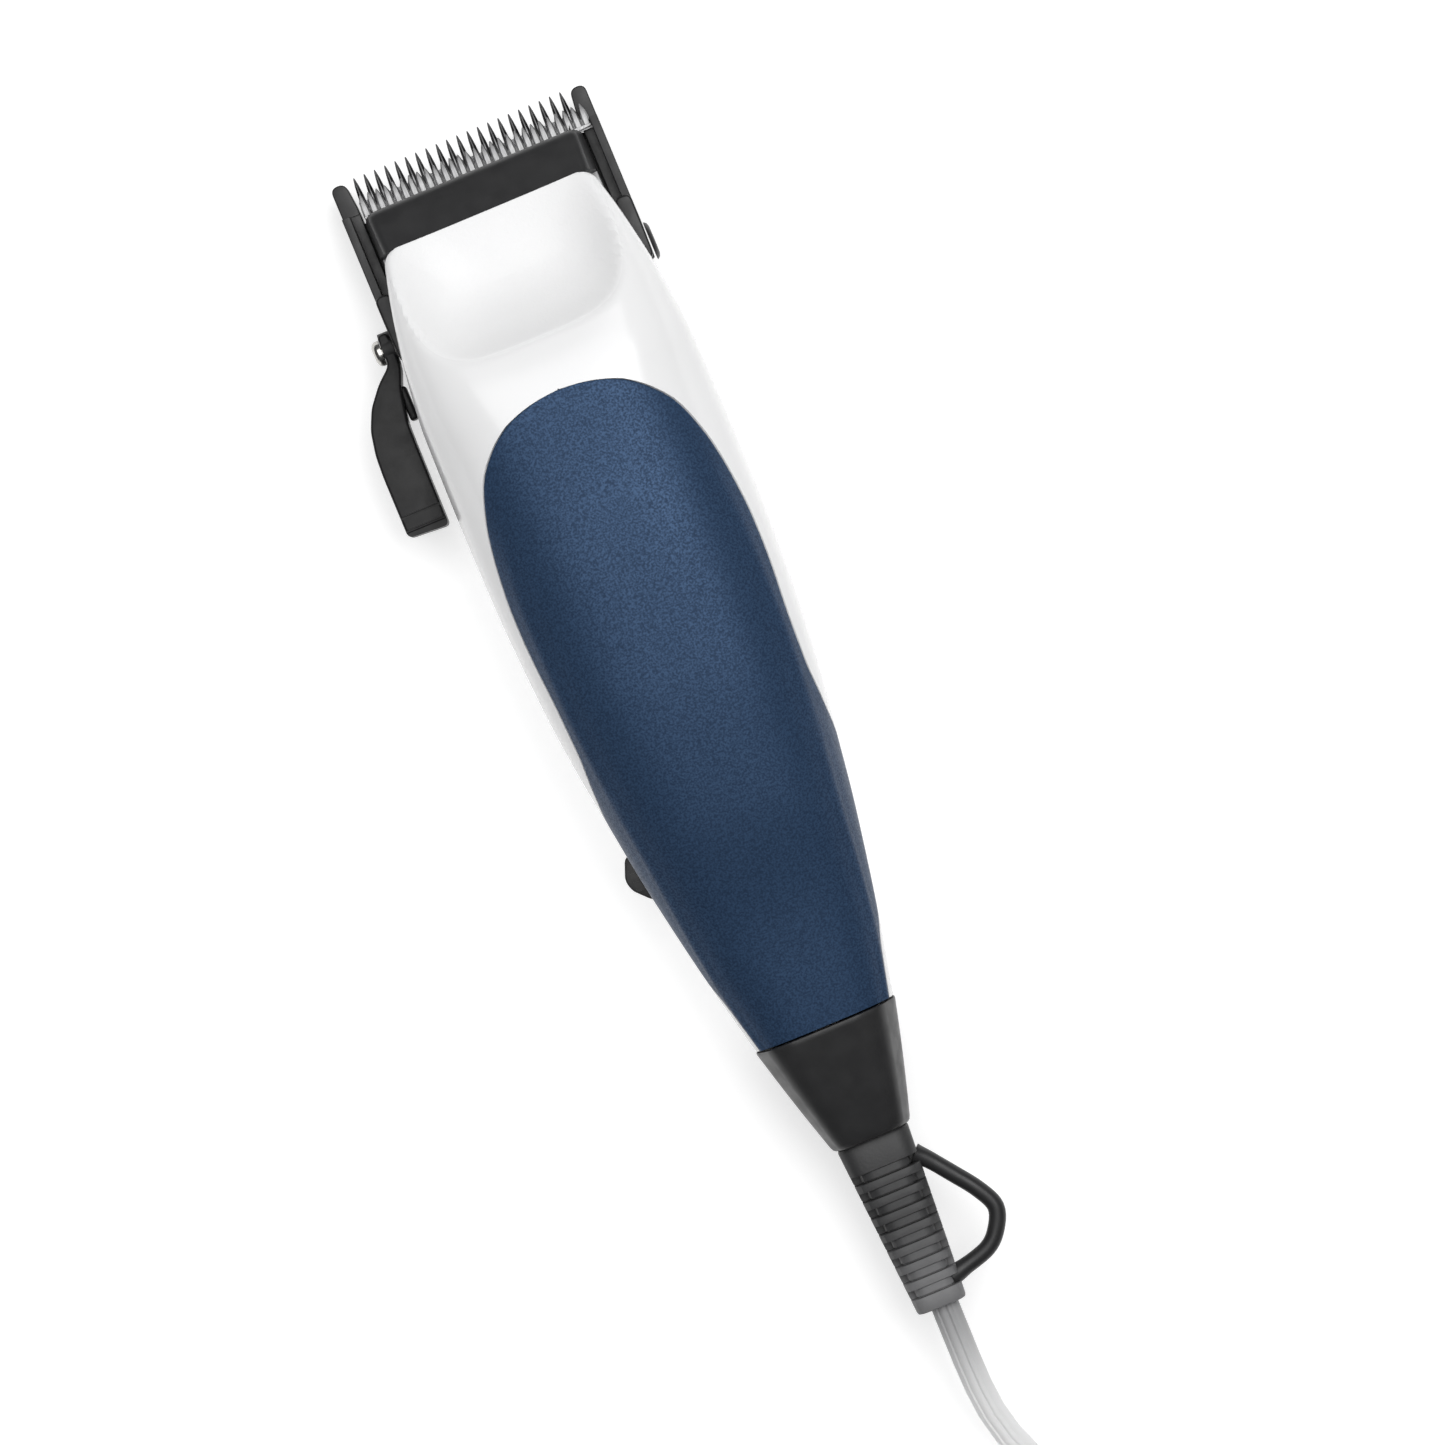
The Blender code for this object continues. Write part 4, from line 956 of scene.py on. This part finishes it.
def build_inlay():
    """The grip inlay: a slab whose edges are rolled over, with a soft crease down each side."""

    def point(y, angle, inset):
        crease = angle_at(y, between(INLAY_CREASE, y))
        off = (min(angle, math.pi - angle) - crease) * 20
        ridge = between(CREASE_RISE, y) * math.exp(-(off / 1.1) ** 2)
        return body_point(y, angle, inset - ridge)

    rolled = ((0.0, INLAY_DEPTH), (0.0, 0.22), (0.05, 0.1), (0.14, 0.03), (0.3, 0.0))
    bm = bmesh.new()
    rings = []
    for y in inlay_stations(INLAY_APEX):
        edge = inlay_edge(y)
        room = (math.pi / 2 - edge) * 20
        ends = [(edge + min(along, room) / 20, inset) for along, inset in rolled]
        last = ends[-1][0]
        across = [(angle, 0.0) for angle in spread(last, math.pi - last, 74)[1:-1]]
        top = ends + across + [(math.pi - angle, inset) for angle, inset in reversed(ends)]
        over = [bm.verts.new(point(y, angle, inset)) for angle, inset in top]
        under = [bm.verts.new(point(y, angle, INLAY_DEPTH)) for angle, _ in top[1:-1]]
        rings.append((over, [over[0], *under, over[-1]]))
    for (over, under), (far_over, far_under) in zip(rings, rings[1:]):
        for i in range(len(over) - 1):
            bm.faces.new((over[i], far_over[i], far_over[i + 1], over[i + 1]))
            bm.faces.new((under[i + 1], far_under[i + 1], far_under[i], under[i]))
    over, under = rings[0]
    for i in range(len(over) - 1):
        corners = [over[i], over[i + 1], under[i + 1], under[i]]
        bm.faces.new(list(dict.fromkeys(corners)))
    bmesh.ops.remove_doubles(bm, verts=bm.verts, dist=0.0005)
    bmesh.ops.dissolve_degenerate(bm, edges=bm.edges, dist=0.0001)
    bmesh.ops.recalc_face_normals(bm, faces=bm.faces)
    inlay = smooth(from_bmesh("grip_panel", bm, inlay_material()), 50)
    return piece(inlay, "housing", "blue_inlay", "grip_inlay")


def build_lower_housing():
    seam = GAP / 2 / between(HALF_WIDTH, 0)
    angles = spread(-math.pi + seam, -seam, 90)
    stations = spread(BODY_TAIL, BODY_FRONT, 100)
    shell = loft(
        "body_lower", [[body_point(y, angle) for angle in angles] for y in stations],
        white_housing_material(), closed=False,
    )
    thicken(shell, 2.4)
    cut(shell, block("bay", (-26, 49.8, -2), (26, 73, 9.9), None, 1.0))
    cut(shell, block("bay", (-17, 51, -3), (17, 74, 14), None, 0.8))
    for side in (-1, 1):
        inner, outer = sorted((side * 19.8, side * 26))
        cut(shell, block("bay", (inner, 52.3, -4), (outer, 75, 15.9), None, 0.8))
        inner, outer = sorted((side * 14, side * 21))
        cut(shell, block("bay", (inner, 53.2, 5), (outer, 62, 15.7)))
    cut(shell, block("slot", (-26, -45.2, 9.3), (-14, -30.2, 14.7), None, 1.2))
    cut(shell, rod("hole", (15, 20, 12), (30, 20, 12), 3.4))
    for x, y in ((-16, 46), (16, 46), (-9, -54), (9, -54)):
        cut(shell, rod("hole", (x, y, -5), (x, y, 9), 2.8))
        cut(shell, rod("mouth", (x, y, -5), (x, y, -5 + 5.5 + between(KEEL, y)), 3.5, far_radius=3.1))
    cut(shell, block("plate", (-12, -22, -1), (12, 14, 0.35), None, 2.5, 5))
    for y in (2.0, 34.0):
        fuse(shell, rod("post", (-16.5, y, 1.9), (-16.5, y, 10.6), 2.6))
    return piece(smooth(shell, 30), "housing", "white_plastic", "lower_housing")


# ---------------------------------------------------------------- nose and blades

# (y, height of the lid, half width at its foot) down the nose
NOSE_PROFILE = [
    (71.7, 21.2, 19.7), (74.0, 20.2, 19.7), (76.3, 19.2, 19.7), (77.9, 18.5, 19.7),
    (78.5, 18.15, 19.65), (78.95, 17.7, 19.5), (79.25, 17.0, 19.2), (79.42, 16.1, 18.8),
    (79.5, 15.0, 18.4), (79.5, 12.2, 18.2),
]
NOSE_FOOT = 12.0


def build_nose():
    """The black lid over the blades, with drafted sides and a tongue under the housing."""
    rows = []
    for y, lid, half in NOSE_PROFILE:
        corner = min(1.5, (lid - NOSE_FOOT) * 0.4)
        foot = [(half, NOSE_FOOT), (half - 0.25, NOSE_FOOT + (lid - corner - NOSE_FOOT) * 0.5)]
        draft = half - 0.12 * (lid - NOSE_FOOT)
        arc = [
            (draft - corner + corner * math.cos(turn), lid - corner + corner * math.sin(turn))
            for turn in spread(0.0, math.pi / 2, 7)
        ]
        right = foot + arc
        middle = [(x, lid) for x in spread(arc[-1][0], 0.0, 8)[1:-1]]
        left = [(-x, z) for x, z in reversed(right + middle)]
        rows.append([(x, y, z) for x, z in right + middle + [(0.0, lid)] + left])
    cover = thicken(loft("front_cover", rows, BLACK_SATIN, closed=False), 1.2)
    fuse(cover, block("tongue", (-15.5, 66.0, 19.4), (15.5, 72.7, 20.3), None, 0.2))
    return piece(smooth(cover, 40), "housing", "black_plastic", "nose_cover")


def add_tooth(bm, x, ridge, sections):
    """One tapering tooth; each section is (y, half width, low, shoulder, high)."""
    rings = []
    for y, half, low, shoulder, high in sections:
        ring = [
            (half, low), (half, shoulder), (half * ridge, high), (-half * ridge, high),
            (-half, shoulder), (-half, low),
        ]
        rings.append([bm.verts.new((x + side, y, z)) for side, z in ring])
    join_rings(bm, rings)
    bm.faces.new(rings[0])
    bm.faces.new(list(reversed(rings[-1])))


def add_teeth(blade, count, pitch, shift, ridge, sections):
    bm = bmesh.new()
    for i in range(count):
        add_tooth(bm, shift + pitch * (i - (count - 1) / 2), ridge, sections)
    bmesh.ops.recalc_face_normals(bm, faces=bm.faces)
    fuse(blade, from_bmesh("teeth", bm, None))
    return smooth(blade, 20)


def blade_screw_hole(side):
    x, y = BLADE_SCREW
    return rod("hole", (side * x, y, 0), (side * x, y, 20), BLADE_SCREW_HOLE)


def build_comb():
    """The fixed lower blade: wedge teeth that thin out towards their tips."""
    outline = [
        (-COMB_HALF, COMB_BACK), (COMB_HALF, COMB_BACK), (COMB_HALF, COMB_ROOT),
        (-COMB_HALF, COMB_ROOT),
    ]
    low, high = COMB_Z
    dark, light = (0.24, 0.24, 0.245), (0.40, 0.40, 0.405)
    steel = ground_steel("comb_ground", dark, light, 0.45, "Y", tips=(81.8, 84.0, 0.3))
    blade = slab("comb", rounded(outline, 0.8), low, high, steel, 0.15, 2)
    for side in (-1, 1):
        cut(blade, blade_screw_hole(side))
    fuse(blade, block("apron", (-COMB_HALF, 80.0, low + 0.03), (COMB_HALF, 82.6, low + 0.8)))
    half = COMB_PITCH / 2
    reach = COMB_TIP - COMB_ROOT
    add_teeth(blade, COMB_TEETH, COMB_PITCH, 0.0, 0.15, [
        (COMB_ROOT - 0.6, half * 0.66, low + 0.1, high - 0.3, high - 0.1),
        (COMB_ROOT, half * 0.66, low + 0.1, high - 0.5, high - 0.1),
        (COMB_ROOT + reach * 0.5, half * 0.52, low + 0.15, high - 0.9, high - 0.15),
        (COMB_ROOT + reach * 0.78, half * 0.36, low + 0.25, high - 1.1, high - 0.4),
        (COMB_TIP - 0.25, half * 0.17, low + 0.5, high - 1.2, high - 1.0),
        (COMB_TIP, half * 0.08, low + 0.65, high - 1.3, high - 1.2),
    ])
    return piece(blade, "blade_carrier", "blade_steel", "comb_blade")


def build_cutter():
    """The moving upper blade: a bright band cut into fine pleated teeth."""
    low, high = CUTTER_Z
    shift, neck, half = CUTTER_OFFSET, 14.0, CUTTER_HALF
    outline = [
        (shift - neck, CUTTER_BACK), (shift + neck, CUTTER_BACK), (shift + neck, 74.0),
        (18.4, 76.0), (18.4, 79.1), (shift + half, 79.3), (shift + half, 79.8),
        (shift - half, 79.8), (shift - half, 79.3), (-18.4, 79.1), (-18.4, 76.0), (shift - neck, 74.0),
    ]
    steel = ground_steel("cutter_bright", (0.26, 0.26, 0.265), (0.42, 0.42, 0.42), 0.5, "Y")
    blade = slab("cutter", outline, low, high, steel, 0.1, 2)
    near, far = (shift - half, 79.0, low + 0.02), (shift + half, CUTTER_ROOT, low + 0.75)
    fuse(blade, block("apron", near, far))
    cut(blade, block("way", (shift - 1.85, 66.9, 5), (shift + 1.85, 71.1, 15)))
    half = CUTTER_PITCH / 2
    add_teeth(blade, CUTTER_TEETH, CUTTER_PITCH, shift, 0.55, [
        (79.7, half * 0.95, low + 0.1, high - 0.35, high - 0.03),
        (CUTTER_ROOT, half * 0.92, low + 0.1, high - 0.45, high - 0.1),
        (82.2, half * 0.74, low + 0.1, high - 0.65, high - 0.3),
        (CUTTER_TIP - 0.2, half * 0.26, low + 0.12, high - 1.1, high - 0.75),
        (CUTTER_TIP, half * 0.14, low + 0.2, high - 1.2, high - 0.95),
    ])
    return piece(blade, "cutter", "cutter_steel", "cutter_blade")


def frame_arm(side):
    """One side of the blade frame: a ledge, an outer wall with a long groove, and a fork."""

    def part(name, outline, low, high, radius, rounding):
        mirrored = [(side * x, y) for x, y in outline]
        return slab(name, rounded(mirrored, radius), low, high, None, rounding)

    back, front = FRAME_BACK_SIDE, FRAME_SIDE
    ledge = [
        (20.0, 55.0), (back, 55.0), (front, 61.0), (front, 86.5), (20.5, 86.5), (20.0, 81.7),
    ]
    rail = [(21.7, 55.0), (back, 55.0), (front, 61.0), (front, 80.6), (21.7, 80.6)]
    fork = [(20.3, 54.6), (back, 54.6), (front, 61.0), (front, 66.0), (20.3, 66.0)]
    arm = part("arm", ledge, FRAME_FLOOR, 9.3, 1.3, 0.22)
    fuse(arm, part("rail", rail, 7.0, 13.0, 0.2, 0.15))
    fuse(arm, part("fork", fork, 7.0, 15.5, 1.2, 0.4))
    inner, outer = sorted((side * 19.0, side * 25.0))
    shallow, deep = sorted((side * 22.9, side * 24.0))
    cut(arm, block("fork_slot", (inner, 50, 8.2), (outer, 62.4, 12.8), None, 0.6))
    cut(arm, block("groove", (shallow, 63.0, 10.2), (deep, 78.5, 10.7), None, 0.1))
    cut(arm, block("seam", (inner, 80.5, 8.9), (outer, 80.75, 14.0)))
    return arm


def build_blade_frame():
    deck = [(-20.5, 52.6), (20.5, 52.6), (20.5, 79.4), (-20.5, 79.4)]
    black = moulded_plastic("frame_black", (0.012, 0.012, 0.0125), 0.38, 0.7, 0.02, 0.2, 0.3)
    holder = slab("blade_holder", rounded(deck, 1.5), FRAME_FLOOR, 6.8, black, 0.3)
    for side in (-1, 1):
        cut(holder, blade_screw_hole(side))
        fuse(holder, frame_arm(side))
    pin_y = LEVER_Y + 3.0 * math.sin(LEVER_SWING / 2)
    fuse(holder, block("pad", (5.0, pin_y - 3.6, 5.8), (17.9, pin_y + 2.9, 8.1), None, 0.3))
    cut(holder, block("pin_slot", (7.0, pin_y - 1.5, 0), (17.0, pin_y + 1.5, 12)))
    repaint(holder, black)
    return piece(smooth(holder), "blade_carrier", "black_plastic", "blade_frame")


# ---------------------------------------------------------------- lever, knob and screws

def build_lever():
    outline = [
        (-23.4, 60.3), (-23.4, 54.0), (-24.8, 50.5), (-25.9, 45.0), (-26.0, 41.0), (-26.1, 26.5),
        (-33.3, 27.0), (-33.3, 38.0), (-33.1, 41.8), (-32.3, 45.9), (-30.7, 49.4), (-28.1, 52.6),
        (-25.3, 55.0), (-25.3, 60.3),
    ]
    black = moulded_plastic("lever_black", (0.010, 0.010, 0.0105), 0.42, 0.7, 0.02, 0.2, 0.22)
    lever = slab("thumb_lever", rounded(outline, 1.0, 6), 7.6, 13.4, black, 0.45, 4)
    fuse(lever, rod("hub", (-25.2, LEVER_Y, LEVER_Z), (-23.3, LEVER_Y, LEVER_Z), 3.1))
    fuse(lever, block("detent", (-25.4, 45.0, 8.8), (-24.0, 51.0, 12.2), None, 0.5))
    cut(lever, rod("hole", (-30, LEVER_Y, LEVER_Z), (-20, LEVER_Y, LEVER_Z), 1.5))
    for y in (28.0, 30.4):
        cut(lever, block("step", (-36, y - 0.22, 12.9), (-24, y + 0.22, 15)))
    cut(lever, block("end", (-36, 25, 12.7), (-24, 27.9, 15), None, 0.2))
    repaint(lever, black)
    return piece(smooth(lever), "lever", "black_plastic", "taper_lever")


def build_knob():
    outline = [
        (-14.7, -35.6), (-20.4, -36.4), (-21.8, -40.0), (-21.3, -42.0), (-18.6, -44.8),
        (-14.7, -44.8),
    ]
    knob = slab("power_slider", rounded(outline, 0.9), 9.7, 14.3, BLACK_SATIN, 0.3)
    for y in (-42.2, -40.6, -39.0, -37.4):
        cut(knob, block("ridge", (-20.6, y - 0.3, 14.0), (-16.0, y + 0.3, 16)))
    return piece(smooth(knob), "switch", "black_plastic", "switch_knob")


def screw(name, seat, direction, radius, length, recess=2):
    """A pan-head screw on its seat, its shank along direction; recess counts the driver slots."""
    profile = [
        (0.0, 1.5), (radius * 0.6, 1.44), (radius - 0.35, 1.2), (radius - 0.08, 0.85),
        (radius, 0.5), (radius, 0.0), (1.2, 0.0), (1.2, -length), (0.0, -length),
    ]
    back = Vector(direction) * -1
    made = turned(name, profile, seat, back, SCREW_STEEL)
    turn = Vector((0, 0, 1)).rotation_difference(back).to_matrix().to_4x4()
    for i in range(recess):
        across = (radius * 0.62, 0.3) if i == 0 else (0.3, radius * 0.62)
        driver = block("driver", (-across[0], -across[1], 0.7), (across[0], across[1], 3.0))
        driver.data.transform(Matrix.Translation(Vector(seat) * METRE) @ turn)
        cut(made, driver)
    return smooth(made)


def build_screws():
    seats = {
        "housing_screw_front_left": (-16, 46), "housing_screw_front_right": (16, 46),
        "housing_screw_rear_left": (-9, -54), "housing_screw_rear_right": (9, -54),
    }
    for node, (x, y) in seats.items():
        piece(screw(node + "_head", (x, y, 4.4), (0, 0, 1), 2.4, 6.0), "housing", "screw_steel", node)
    for side, word in ((-1, "left"), (1, "right")):
        x, y = BLADE_SCREW
        made = screw(f"blade_screw_{word}_head", (side * x, y, 4.9), (0, 0, 1), 2.6, 4.4)
        piece(made, "blade_carrier", "screw_steel", f"blade_screw_{word}")
    bolt = screw("lever_bolt", (-25.5, LEVER_Y, LEVER_Z), (1, 0, 0), 2.2, 2.2)
    piece(bolt, "lever", "screw_steel", "taper_lever_screw")
    profile = [
        (0.0, 1.35), (2.4, 1.33), (2.75, 1.22), (2.95, 1.0), (3.0, 0.75), (3.0, 0.0), (1.5, 0.0),
        (1.5, -8.5), (0.0, -8.5),
    ]
    adjuster = turned("power_adjust_screw", profile, (22.7, 20.0, 12.0), (1, 0, 0), SCREW_STEEL)
    cut(adjuster, block("driver", (23.45, 16.0, 11.5), (26.0, 24.0, 12.5)))
    piece(smooth(adjuster), "power_adjuster", "screw_steel", "power_screw")
    cap = [(0.0, 0.9), (2.4, 0.86), (3.0, 0.66), (3.3, 0.3), (3.35, 0.1), (0.0, 0.1)]
    lid = turned("shaft_end_cap", cap, (23.2, LEVER_Y, LEVER_Z), (1, 0, 0), BLACK_SATIN)
    piece(smooth(lid), "lever", "black_plastic", "shaft_cap")


# ---------------------------------------------------------------- inner parts

def finish_inner_parts():
    """Gives each CAD part that shows as it is a material that suits it."""
    nylon = moulded_plastic("nylon_natural", (0.62, 0.59, 0.51), 0.45, 0.6, 0.01)
    insulation = moulded_plastic("wire_pvc", (0.055, 0.055, 0.06), 0.5, 0.4, 0.01)
    spring = ground_steel("spring_steel_blank", (0.30, 0.29, 0.27), (0.46, 0.45, 0.43), 0.28)
    zinc = turned_steel("cast_zinc", (0.40, 0.40, 0.42), 0.5)
    layers = striped("laminations", "Z", 1.0, (0.06, 0.06, 0.065), (0.24, 0.24, 0.26), 0.5, 0.8, 0.08)
    turns = striped("copper_turns", "X", 0.6, (0.26, 0.08, 0.03), (0.68, 0.28, 0.12), 0.34, 1.0, 0.1)
    pins = turned_steel("plated_pins", (0.74, 0.60, 0.32), 0.26)
    finishes = {
        nylon: ("shaft_bearing_left", "shaft_bearing_right", "bobbin", "drive_arm", "cord_clamp"),
        insulation: ("lead_wire_live", "lead_wire_switched", "lead_wire_return"),
        spring: ("leaf_spring", "tension_spring", "taper_shaft"),
        zinc: ("spring_clamp",),
        layers: ("stator_core", "armature_core"),
        turns: ("winding",),
        pins: ("plug_blade_left", "plug_blade_right"),
        BLACK_SATIN: ("switch_body",),
        cord_material(): ("inner_cord",),
        SCREW_STEEL: (
            "stator_screw_rear", "stator_screw_front", "clamp_screw_left", "clamp_screw_right",
            "cord_clamp_screw_left", "cord_clamp_screw_right",
        ),
    }
    for material, names in finishes.items():
        for name in names:
            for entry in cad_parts[name].material_slots:
                entry.material = material


# ---------------------------------------------------------------- assembly

place_camera()
make_studio()
make_floor()
BLACK_SATIN = moulded_plastic("black_satin", (0.021, 0.021, 0.0218), 0.42, 0.6, 0.006, gloss=0.36)
SCREW_STEEL = turned_steel("screw_nickel", (0.62, 0.61, 0.58), 0.24)
TIE_CLOTH = moulded_plastic("tie_cloth", (0.02, 0.02, 0.021), 0.8, 0.5, 0.05)
build_cord()
build_boot()
build_hanging_loop()
build_end_cap()
build_upper_housing()
build_inlay()
build_lower_housing()
build_nose()
build_comb()
build_cutter()
build_blade_frame()
build_lever()
build_knob()
build_screws()
finish_inner_parts()
